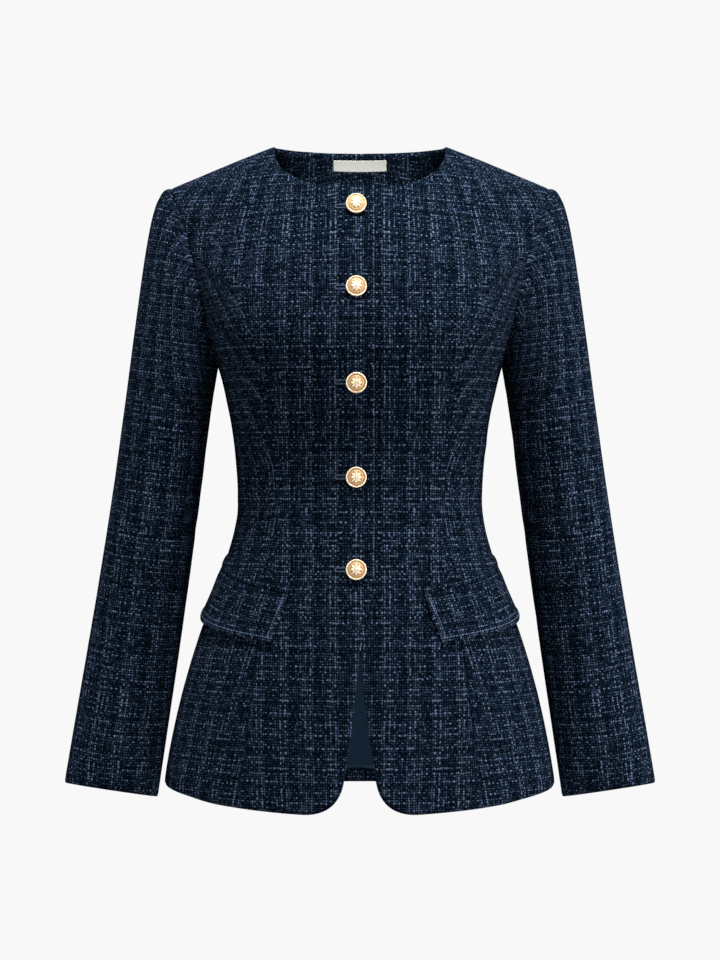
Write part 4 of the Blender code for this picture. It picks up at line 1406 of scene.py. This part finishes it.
@dataclass
class Sleeves:
    """Both set-in sleeves, with a slightly roped head and creases at the elbow."""

    pattern: Pattern
    finishes: Finishes
    cloth: float = 2.0
    cap_fullness: float = 0.25
    tuck: float = 3.0
    tuck_depth: float = 2.2
    tuck_end: float = 0.4
    quarter_mm: float = 80.0
    settled_head: float = 14.0
    settled_cuff: float = 12.0
    head_rope: float = 1.8
    head_rope_at: float = 9.0
    head_rope_width: float = 6.0
    cuff_facing: float = 32.0
    cap_rows: Array = field(
        default_factory=lambda: np.concatenate([[0, 0.012, 0.03], np.linspace(0.05, 1, 52)])
    )
    arm_rows: Array = field(
        default_factory=lambda: np.concatenate([np.linspace(0, 0.994, 116)[1:], [0.9975, 1.0]])
    )
    cut: Cut = Cut(0.365, 0.620, 0.159, Held.HUNG, "armhole")

    def ring(self, z: float, angles: Array) -> tuple[Array, Array]:
        """A ring of the sleeve square to its axis, and the axis upwards."""
        heights = [ring.z for ring in reversed(SLEEVE_RINGS)]
        table = np.array(SLEEVE_RINGS[::-1])
        ring = smooth(heights, table, np.array(z, float))
        rise = smooth(heights, table, np.array(z + 1.0)) - smooth(heights, table, np.array(z - 1.0))
        axis = unit(rise[[1, 2, 0]])
        across = unit(np.array((1.0, 0, 0)) - axis * axis[0])
        forward = np.cross(across, axis)
        wide = np.cos(angles)[:, None] * across * ring[3]
        return ring[[1, 2, 0]] + wide + np.sin(angles)[:, None] * forward * ring[4], axis

    def grid(self) -> tuple[Array, Array]:
        """Rows of the left sleeve from the armhole to the cuff, and each column's angle."""
        loop, loop_out, under = self.pattern.armhole_loop()
        lengths = running_length(np.concatenate([loop, loop[:1]]), 0)
        stops = [0, lengths[under], lengths[-1]]
        angles = np.interp(lengths[:-1], stops, [0, math.pi, 2 * math.pi])
        first, axis = self.ring(SLEEVE_RINGS[0].z, angles)
        low = ((1 - np.cos(angles)) / 2)[:, None]
        pull = (1 - low) * np.array(CAP_TOP) + low * np.array(CAP_UNDERARM)
        leave = unit(np.stack([pull[:, 0], -self.cap_fullness * np.sin(angles), pull[:, 1]], axis=-1))
        start = loop - loop_out * self.tuck_depth
        second = start + leave * pull[:, 2:3]
        third = first + axis * pull[:, 3:4]
        rows = [start - leave * self.tuck - loop_out * self.tuck_end]
        for f in self.cap_rows:
            near = (1 - f) ** 3 * start + 3 * f * (1 - f) ** 2 * second
            rows.append(near + 3 * f * f * (1 - f) * third + f**3 * first)
        top, bottom = SLEEVE_RINGS[0].z, SLEEVE_RINGS[-1].z
        for share in self.arm_rows:
            rows.append(self.ring(top + (bottom - top) * share, angles)[0])
        return np.array(rows), angles

    def build(self) -> None:
        """Builds both sleeves."""
        places, angles = self.grid()
        round_step = np.roll(places, -1, axis=1) - np.roll(places, 1, axis=1)
        outward = unit(np.cross(round_step, np.gradient(places, axis=0)))
        along = running_length(places, 0)
        on_top = np.clip(np.cos(angles), 0, 1)
        rope = self.head_rope * np.exp(-(((along - self.head_rope_at) / self.head_rope_width) ** 2)) * on_top
        quarter = self.quarter_mm / (math.pi / 2)
        settle = eased(along / self.settled_head) * eased((along[-1] - along) / self.settled_cuff)
        across = angles[None] * quarter + 0 * along
        for side in Side:
            lift = crease_relief(SLEEVE_CREASES[side], across, places[..., 2]) * settle
            creased = places + outward * (lift + rope)[..., None]
            name = f"sleeve_{side.word}"
            # The rings are turned so that the weave meets itself under the arm
            half = len(angles) // 2
            start = (len(self.cap_rows), half)
            turned = [np.roll(values, half, axis=1) for values in (creased, outward)]
            piece = ClothPiece(name, *turned, self.cloth, start, closed=True, side=side)
            faced = (along[-1] - along)[1:] < self.cuff_facing
            mesh = piece.mesh(np.roll(faced, half, axis=1))
            add_sheet(mesh, name, Slot.TWEED, self.cut, self.finishes.tweed, self.finishes.lining)


# Repeated threads and beads


class Strand(NamedTuple):
    """Spacing and size of small strands in metres, and how far each turns, in radians."""

    Spacing: float
    Length: float
    Width: float
    Height: float
    Tilt: float
    Unevenness: float


class ThreadRow:
    """A Geometry Nodes tree that lays small rounded strands along marked paths."""

    SEED = 7

    def __init__(self) -> None:
        """Builds the tree once."""
        tree = bpy.data.node_groups.new("thread row", "GeometryNodeTree")
        self.tree = tree
        tree.interface.new_socket("Paths", in_out="INPUT", socket_type="NodeSocketGeometry")
        for name in Strand._fields:
            tree.interface.new_socket(name, in_out="INPUT", socket_type="NodeSocketFloat")
        tree.interface.new_socket("Material", in_out="INPUT", socket_type="NodeSocketMaterial")
        tree.interface.new_socket("Strands", in_out="OUTPUT", socket_type="NodeSocketGeometry")
        node = partial(add_node, tree)
        given = node("NodeGroupInput").outputs
        curve = node("GeometryNodeMeshToCurve", {0: given["Paths"]})
        spaced = node("GeometryNodeResampleCurve",
            {"Curve": curve, "Length": given["Spacing"]},
            mode="LENGTH",
        )
        tangent = node("GeometryNodeInputTangent")
        up = node("GeometryNodeInputNamedAttribute", {"Name": OUTWARD}, data_type="FLOAT_VECTOR")
        along = node("FunctionNodeAlignRotationToVector", {"Vector": tangent}, axis="X")
        upright = node("FunctionNodeAlignRotationToVector",
            {"Rotation": along, "Vector": up},
            axis="Z",
            pivot_axis="X",
        )
        jitter = node("FunctionNodeRandomValue", {2: -1.0, 3: 1.0, "Seed": self.SEED}, data_type="FLOAT")
        sway = node(MATHS,
            {0: jitter.outputs[1], 1: given["Unevenness"], 2: given["Tilt"]},
            operation="MULTIPLY_ADD",
        )
        spin = node("ShaderNodeCombineXYZ", {2: sway})
        turned = node("FunctionNodeRotateRotation", {0: upright, 1: spin}, rotation_space="LOCAL")
        size = node("ShaderNodeCombineXYZ", {0: given["Length"], 1: given["Width"], 2: given["Height"]})
        bead = node("GeometryNodeMeshUVSphere", {"Segments": 8, "Rings": 6, "Radius": 0.5})
        laid = node("GeometryNodeInstanceOnPoints",
            {
                "Points": spaced,
                "Instance": bead,
                "Rotation": turned,
                "Scale": size,
            },
        )
        real = node("GeometryNodeRealizeInstances", {0: laid})
        soft = node("GeometryNodeSetShadeSmooth", {0: real})
        dressed = node("GeometryNodeSetMaterial", {0: soft, "Material": given["Material"]})
        node("NodeGroupOutput", {0: dressed})

    def lay(
        self, name: str, slot: Slot, material: bpy.types.Material, strand: Strand, paths: Sequence[Path]
    ) -> None:
        """Lays strands along paths as one piece.

        Args:
            name: the piece's name
            slot: not used
            material: the strands' finish
            strand: their spacing and size
            paths: the paths that they follow
        """
        values = {**strand._asdict(), "Material": material}
        points = []
        edges = []
        up = []
        for places, outward, ring in paths:
            first = len(points)
            count = len(places)
            points.extend(places.tolist())
            up.extend(outward.tolist())
            edges.extend((first + i, first + i + 1) for i in range(count - 1))
            if ring:
                edges.append((first + count - 1, first))
        mesh = bpy.data.meshes.new(name + "_paths")
        mesh.from_pydata(points, edges, [])
        mesh.attributes.new(OUTWARD, "FLOAT_VECTOR", "POINT").data.foreach_set("vector", np.ravel(up))
        thing = bpy.data.objects.new(name + "_paths", mesh)
        bpy.context.scene.collection.objects.link(thing)
        modifier = thing.modifiers.new("strands", "NODES")
        modifier.node_group = self.tree
        for socket in self.tree.interface.items_tree:
            if socket.in_out == "INPUT" and socket.name in values:
                modifier[socket.identifier] = values[socket.name]
        graph = bpy.context.evaluated_depsgraph_get()
        made = bpy.data.meshes.new_from_object(thing.evaluated_get(graph))
        thing.modifiers.remove(modifier)
        bpy.data.objects.remove(thing)
        made.name = name
        add_piece(made, name, slot, material)


# Pockets


@dataclass
class Pockets:
    """Slanted flaps of doubled cloth under narrow jets, topstitched along their free edges."""

    pattern: Pattern
    finishes: Finishes
    threads: ThreadRow
    front_top: tuple = (60.8, -444.0)
    front_bottom: tuple = (77.0, -490.0)
    back_top: tuple = (1.2, -411.0)
    back_bottom: tuple = (1.22, -464.0)
    rest: float = 0.3
    jet_rest: float = 0.2
    stands_out: tuple = (0.5, 3.2)
    flap_cloth: float = 2.6
    jet_cloth: float = 1.6
    jet_height: float = 6.0
    right_setback: float = 7.0
    rim: float = 5.0
    rim_rise: float = 0.7
    rim_fade: float = 2.2
    # Least painted highlight on a flap's rim
    rim_highlight_least: float = 0.35
    groove: float = 0.5
    groove_past_rim: float = 0.6
    curl: float = 1.5
    thickens_over: float = 0.25
    free_over: float = 0.2
    jet_gap: float = 0.3
    jet_crown: float = 0.6
    stitch_lift: float = 0.1
    stitch_spacing: float = 3.4
    stitch_length: float = 2.5
    stitch_width: float = 0.75
    columns: Array = field(default_factory=lambda: edge_shares(66, (0.005, 0.012)))
    rows: Array = field(default_factory=lambda: edge_shares(20, (0.015, 0.04)))
    jet_rows: Array = field(default_factory=lambda: edge_shares(6, (0.08, 0.2)))
    flap_cut: Cut = Cut(0.190, 0.060, 0.0103, Held.HUNG, "pocket seam")
    jet_cut: Cut = Cut(0.190, 0.010, 0.0015, Held.HUNG, "pocket seam")

    def line(self, front: tuple, back: tuple) -> tuple[Array, Array]:
        """A straight edge of the pocket, from an x, z place on the front to a q, z place past the side."""
        start = float(self.pattern.form.at_xz(*front)[0])
        return start + (back[0] - start) * self.columns, front[1] + (back[1] - front[1]) * self.columns

    def build_pocket(self, side: Side) -> Path:
        """Builds one pocket.

        Args:
            side: which one; the right flap starts a little further back

        Returns:
            Its topstitch line.
        """
        form = self.pattern.form
        setback = self.right_setback if side is Side.RIGHT else 0.0
        top_q, top_z = self.line((self.front_top[0] + setback, self.front_top[1]), self.back_top)
        low_q, low_z = self.line((self.front_bottom[0] + setback, self.front_bottom[1]), self.back_bottom)
        down = 1 - self.rows[:, None]
        chart = form.at_qz(top_q + (low_q - top_q) * down, top_z + (low_z - top_z) * down)
        base = form.point(chart)
        outward = form.outward(chart)
        thick = self.jet_cloth + (self.flap_cloth - self.jet_cloth) * eased(down / self.thickens_over)
        near, far = self.stands_out
        lift = self.rest + (near + (far - near) * eased(self.columns)) * down**self.curl + thick
        across = running_length(base, 1)
        along = running_length(base, 0)
        free = np.minimum(np.minimum(across, across[:, -1:] - across), along)
        loose = eased(down / self.free_over)
        on_rim = 1 - eased((free - self.rim) / self.rim_fade)
        rim_highlight = self.rim_highlight_least + (1 - self.rim_highlight_least) * (1 - eased(free / self.rim))
        sunk = self.groove * np.exp(-((free - self.rim - self.groove_past_rim) ** 2))
        places = base + outward * (lift + (self.rim_rise * on_rim - sunk) * loose)[..., None]
        strip = self.jet_rows[:, None] * self.jet_height + self.jet_gap
        jet_chart = form.at_qz(top_q + 0 * strip, top_z + strip)
        jet_out = form.outward(jet_chart)
        jet = form.point(jet_chart)
        welt = self.jet_rest + self.jet_cloth + self.jet_crown * np.sin(math.pi * self.jet_rows)[:, None]
        jet = jet + jet_out * welt[..., None]
        flap_name = f"flap_{side.word}"
        flap = ClothPiece(flap_name, places, outward, self.flap_cloth, side=side, roll=(1.0, 1.2))
        # Painted highlight: the flap's rim is drawn paler, where light catches it
        flap.edge_highlight = rim_highlight * on_rim * loose
        self.dress(flap_name, flap, self.flap_cut)
        jet_name = f"pocket_jet_{side.word}"
        strip_piece = ClothPiece(jet_name, jet, jet_out, self.jet_cloth, side=side, roll=(0.6, 1.0))
        self.dress(jet_name, strip_piece, self.jet_cut)
        return self.stitch_path(places, outward, across, along, side)

    def build(self) -> None:
        """Builds both pockets and their topstitches."""
        stitches = [self.build_pocket(side) for side in Side]
        width = self.stitch_width * MM
        height = self.stitch_width * 0.8 * MM
        strand = Strand(self.stitch_spacing * MM, self.stitch_length * MM, width, height, 0.0, 0.12)
        self.threads.lay("flap_topstitches", Slot.TWEED, self.finishes.stitch, strand, stitches)

    def dress(self, name: str, piece: ClothPiece, cut: Cut) -> None:
        """Adds a pocket piece of tweed."""
        add_sheet(piece.mesh(), name, Slot.TWEED, cut, self.finishes.tweed)

    def stitch_path(self, places: Array, outward: Array, across: Array, along: Array, side: Side) -> Path:
        """The topstitch line down the front edge and along the lower edge of a flap."""
        row = int(np.argmin(np.abs(along[:, 0] - self.rim)))
        column = int(np.argmin(np.abs(across[0] - self.rim)))
        last = int(np.argmin(np.abs(across[0] - across[0, -1] + self.rim)))
        front = [(r, column) for r in range(len(places) - 3, row, -1)]
        lower = [(row, c) for c in range(column, last + 1)]
        index = np.array(front + lower)
        flip = np.array((side.value, 1, 1))
        path = places[index[:, 0], index[:, 1]] * flip * MM
        up = outward[index[:, 0], index[:, 1]] * flip
        return path + up * self.stitch_lift * MM, up, False


# Closing


@dataclass
class Closing:
    """Five gilt shank buttons with rope rims, in thread buttonholes of the right front."""

    pattern: Pattern
    finishes: Finishes
    threads: ThreadRow
    x: float = -3.5
    heights: tuple = (-71.5, -151.5, -240.0, -331.0, -420.5)
    lift: float = 3.4
    stand: float = 0.9
    radius: float = 10.0
    rope_radius: float = 9.15
    rope_height: float = 2.25
    rope_points: int = 96
    forward: float = 0.6
    petals: int = 8
    rays: int = 40
    segments: int = 160
    hole_length: float = 23.0
    hole_width: float = 3.4
    hole_past_button: float = 2.4
    hole_lift: float = 0.1
    # Radius and height over the underside, from the middle of the face round to the shank
    face: tuple = (
        (0.0, 3.55),
        (1.2, 3.55),
        (2.4, 3.40),
        (4.0, 3.15),
        (5.6, 2.80),
        (6.6, 2.45),
        (7.2, 2.25),
        (8.2, 2.15),
        (8.7, 2.30),
        (9.3, 2.30),
        (9.8, 1.90),
        (10.0, 1.40),
        (9.9, 0.70),
        (9.3, 0.10),
        (8.0, -0.05),
        (3.0, -0.10),
        (1.4, -0.20),
        (1.3, -3.50),
    )

    def standing(self, out: Vector, place: Vector) -> Matrix:
        """A frame in metres with X along the buttonhole and Z along out."""
        across = (Vector((1, 0, 0)) - out * out.x).normalized()
        frame = Matrix((across, out.cross(across), out)).transposed().to_4x4()
        frame.translation = place
        return frame

    def frame(self, z: float) -> Matrix:
        """A button's place on the form: X along the buttonhole and Z out of the cloth, in metres."""
        form = self.pattern.form
        chart = form.at_xz(self.x, z)
        return self.standing(Vector(form.outward(chart)), Vector(form.point(chart)) * MM)

    def button_frame(self, z: float) -> Matrix:
        """A button's own place: it hangs from its shank and faces forward more than the cloth does."""
        cloth = self.frame(z)
        normal = cloth.to_3x3().col[2].copy()
        out = normal.lerp(Vector((0, -1, 0)), self.forward).normalized()
        clear = self.lift + self.radius * math.sin(normal.angle(out)) + self.stand
        return self.standing(out, cloth.translation + normal * clear * MM)

    def relief(self, r: Array, angle: Array) -> Array:
        """The struck design: a rosette in a plain ring, with short rays round it."""
        petal = np.abs(np.cos(self.petals * angle / 2)) ** 0.8
        edge = 2.0 + 3.6 * petal
        rosette = 0.42 * eased((edge - r) / 0.7) * eased((r - 1.3) / 0.5)
        vein = 0.22 * np.exp(-(((np.mod(angle * self.petals / (2 * math.pi) + 0.5, 1) - 0.5) * r) ** 2) * 14)
        middle = 0.45 * eased((1.35 - r) / 0.35)
        ring = 0.30 * np.exp(-(((r - 6.35) / 0.28) ** 2))
        ray = 0.16 * eased((r - 6.7) / 0.3) * eased((8.3 - r) / 0.3) * (0.5 + 0.5 * np.cos(self.rays * angle))
        return rosette - vein * eased((r - 1.6) / 0.6) * eased((5.2 - r) / 0.6) + middle + ring + ray

    def button_mesh(self, name: str, z: float) -> bpy.types.Mesh:
        """One struck button, with the depth of its recesses as an attribute."""
        table = np.array(self.face)
        known = np.arange(len(table))
        fine = np.concatenate([np.linspace(0, 10, 41)[1:], np.arange(10.5, len(table) - 1 + 0.1, 0.5)])
        r = np.interp(fine, known, table[:, 0])
        h = np.interp(fine, known, table[:, 1])
        angle = np.linspace(0, 2 * math.pi, self.segments, endpoint=False)
        on_face = fine <= 8
        struck = np.where(on_face[:, None], self.relief(r[:, None], angle[None]), 0)
        x = r[:, None] * np.cos(angle)
        y = r[:, None] * np.sin(angle)
        height = h[:, None] + struck
        top_height = table[0, 1] + float(self.relief(np.array(0.0), np.array(0.0)))
        rings = np.stack([x, y, height], axis=-1).reshape(-1, 3)
        points = np.concatenate([[[0, 0, top_height]], rings, [[0, 0, height[-1, 0]]]]) * MM
        count = self.segments
        faces = [(0, 1 + i, 1 + (i + 1) % count) for i in range(count)]
        for row in range(len(r) - 1):
            a = 1 + row * count
            b = a + count
            faces.extend((a + i, b + i, b + (i + 1) % count, a + (i + 1) % count) for i in range(count))
        end = len(points) - 1
        a = 1 + (len(r) - 1) * count
        faces.extend((a + i, end, a + (i + 1) % count) for i in range(count))
        mesh = bpy.data.meshes.new(name)
        mesh.from_pydata(points.tolist(), [], faces)
        recess = np.where(on_face[:, None], np.clip(1 - struck / 0.35, 0, 1), 0.25)
        values = np.concatenate([[0.0], recess.ravel(), [0.5]]).astype(np.float32)
        mesh.attributes.new(RECESS, "FLOAT", "POINT").data.foreach_set("value", values)
        mesh.transform(self.button_frame(z))
        mesh.shade_smooth()
        return mesh

    def ring_of(self, frame: Matrix, x: Array, y: Array, height: float) -> Path:
        """A closed path in a button's frame."""
        frame = np.array(frame)
        local = np.stack([x, y, np.full_like(x, height)], axis=-1)
        return local * MM @ frame[:3, :3].T + frame[:3, 3], np.tile(frame[:3, 2], (len(x), 1)), True

    def ring_path(self, z: float) -> Path:
        """The rope rim's circle on a button."""
        angle = np.linspace(0, 2 * math.pi, self.rope_points, endpoint=False)
        x = self.rope_radius * np.cos(angle)
        return self.ring_of(self.button_frame(z), x, self.rope_radius * np.sin(angle), self.rope_height)

    def hole_path(self, z: float) -> Path:
        """The closed line that a buttonhole's stitches lie across."""
        half = self.hole_width / 2
        straight = self.hole_length / 2 - half
        f = np.linspace(-1, 1, 24)
        turn = np.linspace(math.pi / 2, -math.pi / 2, 10)[1:-1]
        x = np.concatenate([f * straight, straight + half * np.cos(turn)])
        y = np.concatenate([np.full_like(f, half), half * np.sin(turn)])
        x = np.concatenate([x, -x]) + self.hole_past_button - self.hole_length / 2
        return self.ring_of(self.frame(z), x, np.concatenate([y, -y]), self.lift + self.hole_lift)

    def build(self) -> None:
        """Builds the buttons, their rope rims and the buttonholes."""
        for number, z in enumerate(self.heights, 1):
            name = f"button_{number}"
            struck = name + "_struck"
            button = add_piece(self.button_mesh(struck, z), struck, Slot.GILT, self.finishes.gilt)
            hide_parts(name)
        rims = [self.ring_path(z) for z in self.heights]
        strand = Strand(1.15 * MM, 1.75 * MM, 0.85 * MM, 0.95 * MM, math.radians(38), 0.03)
        self.threads.lay("button_rope_rims", Slot.GILT, self.finishes.gilt, strand, rims)
        holes = [self.hole_path(z) for z in self.heights]
        strand = Strand(0.62 * MM, 0.75 * MM, 2.1 * MM, 0.75 * MM, 0.0, 0.10)
        self.threads.lay("buttonhole_stitches", Slot.TWEED, self.finishes.hole, strand, holes)


# Label


@dataclass
class NeckLabel:
    """A bare woven label sewn on the neck facing at its short ends."""

    pattern: Pattern
    finishes: Finishes
    threads: ThreadRow
    half_width: float = 27.7
    below_edge: float = 6.0
    height: float = 14.3
    depth: float = 4.2
    cloth: float = 0.8
    columns: int = 40
    rows: int = 14
    cut: Cut = Cut(0.0555, 0.0148, 0.00082, Held.LAID, "back_neck_facing")

    def grid(self) -> tuple[Array, Array]:
        """Outer places and outward directions, from the lower edge up."""
        form = self.pattern.form
        x = np.linspace(self.half_width, -self.half_width, self.columns + 1)
        z = np.linspace(0, -40, 60)
        chart = form.at_xz(np.abs(x)[None] + 0 * z[:, None], z[:, None], True)
        lengths = running_length(form.point(chart), 0)
        at = self.below_edge + self.height * np.linspace(1, 0, self.rows + 1)
        pairs = np.empty((self.rows + 1, self.columns + 1, 2))
        for column in range(self.columns + 1):
            for part in range(2):
                pairs[:, column, part] = np.interp(at, lengths[:, column], chart[:, column, part])
        flip = np.stack([np.sign(x), np.ones_like(x), np.ones_like(x)], axis=-1)
        flip[x == 0] = 1
        outward = form.outward(pairs) * flip
        return form.point(pairs) * flip - outward * self.depth, outward

    def build(self) -> None:
        """Builds the label and the stitches at its ends."""
        places, outward = self.grid()
        piece = ClothPiece("label", places, outward, self.cloth, (0, 0), roll=(0.25, 0.6), pucker=0.12)
        add_sheet(piece.mesh(), "label", Slot.LABEL, self.cut, self.finishes.label)
        paths = []
        for column in (1, self.columns - 1):
            up = -outward[1:-1, column]
            paths.append(((places[1:-1, column] + up * (self.cloth + 0.05)) * MM, up, False))
        strand = Strand(2.0 * MM, 1.4 * MM, 0.4 * MM, 0.3 * MM, 0.0, 0.08)
        self.threads.lay("label_stitches", Slot.LABEL, self.finishes.white, strand, paths)


# Studio


class Lamp(NamedTuple):
    """A light: its place and aim, its size in metres or its cone in degrees, and its power in watts."""

    name: str
    kind: str
    place: tuple
    aim: tuple
    size: float
    power: float


@dataclass
class Studio:
    """A plain white studio: camera, soft lights and a pale floor well below the blazer."""

    camera_distance: float = 2.6
    camera_height: float = -0.334
    lens: float = 97.5
    backdrop: str = "#f8f8f8"
    ambient: float = 0.11
    reflected: float = 0.85
    spot_blend: float = 0.5
    # Softboxes, and a narrow spot through the neckline so that the label reads
    lamps: tuple = (
        Lamp("key softbox", "AREA", (0.2, -0.95, 2.2), (0, 0, -0.25), 0.7, 185),
        Lamp("right softbox", "AREA", (1.9, -0.6, -0.3), (0.1, 0, -0.4), 0.9, 44),
        Lamp("left softbox", "AREA", (-2.0, -0.3, -0.1), (0, 0, -0.4), 0.9, 14),
        Lamp("back softbox", "AREA", (-0.3, 2.1, 1.2), (0, 0, -0.3), 1.2, 90),
        Lamp("neck spot", "SPOT", (0.05, -1.6, 0.12), (0, 0.07, 0.035), 6.8, 190),
    )
    floor_z: float = -1.4
    floor_radius: float = 2.4

    def add_lamp(self, lamp: Lamp) -> None:
        """Adds a light. The camera doesn't see the softboxes."""
        light = bpy.data.lights.new(lamp.name, lamp.kind)
        light.energy = lamp.power
        if lamp.kind == "SPOT":
            light.spot_size = math.radians(lamp.size)
            light.spot_blend = self.spot_blend
        else:
            light.shape = "SQUARE"
            light.size = lamp.size
        thing = bpy.data.objects.new(lamp.name, light)
        thing.location = lamp.place
        thing.rotation_euler = (Vector(lamp.aim) - Vector(lamp.place)).to_track_quat("-Z", "Y").to_euler()
        thing.visible_camera = lamp.kind == "SPOT"
        bpy.context.scene.collection.objects.link(thing)

    def build(self) -> None:
        """Sets up the studio."""
        scene = bpy.context.scene
        scene.view_settings.view_transform = "Standard"
        camera = bpy.data.cameras.new("camera")
        camera.lens = self.lens
        seen = bpy.data.objects.new("camera", camera)
        seen.location = (0, -self.camera_distance, self.camera_height)
        seen.rotation_euler = (math.radians(90), 0, 0)
        scene.collection.objects.link(seen)
        scene.camera = seen
        for lamp in self.lamps:
            self.add_lamp(lamp)
        self.build_world()
        self.build_floor()

    def build_world(self) -> None:
        """A white backdrop that lights the blazer less than it shows."""
        world = bpy.data.worlds.new("white studio")
        bpy.context.scene.world = world
        world.use_nodes = True
        world.node_tree.nodes.clear()
        node = partial(add_node, world.node_tree)
        rays = node("ShaderNodeLightPath")
        mirrored = node("ShaderNodeMapRange",
            {0: rays.outputs["Is Glossy Ray"], 3: self.ambient, 4: self.reflected},
        )
        strength = node(MATHS, {0: rays.outputs["Is Camera Ray"], 1: mirrored}, operation="MAXIMUM")
        light = node("ShaderNodeBackground", {0: linear(self.backdrop), 1: strength})
        node("ShaderNodeOutputWorld", {0: light})

    def build_floor(self) -> None:
        """A pale round floor."""
        angle = np.linspace(0, 2 * math.pi, 96, endpoint=False)
        radius = self.floor_radius
        rim = [(radius * math.cos(a), radius * math.sin(a), self.floor_z) for a in angle]
        mesh = bpy.data.meshes.new("floor")
        mesh.from_pydata(rim, [], [tuple(range(len(rim)))])
        material, node, shader = new_material("matt white floor paint", Roughness=0.8)
        place = node("ShaderNodeTexCoord")
        mottle = node(NOISE, {"Vector": place.outputs["Object"], "Scale": 2.0})
        stops = ((0.3, linear("#e6e6e5")), (0.7, linear("#ececeb")))
        colour = node(RAMP, {0: mottle}, stops)
        feed(shader, {"Base Color": colour})
        mesh.materials.append(material)
        floor = bpy.data.objects.new("floor", mesh)
        bpy.context.scene.collection.objects.link(floor)


def main() -> None:
    """Builds the blazer's looks round its frame, in order."""
    logging.basicConfig(level=logging.INFO, format="%(name)s %(message)s")
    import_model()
    Studio().build()
    pattern = Pattern(BodyForm())
    finishes = Finishes()
    threads = ThreadRow()
    Body(pattern, finishes).build()
    Sleeves(pattern, finishes).build()
    Pockets(pattern, finishes, threads).build()
    Closing(pattern, finishes, threads).build()
    NeckLabel(pattern, finishes, threads).build()


if __name__ == "__main__":
    main()
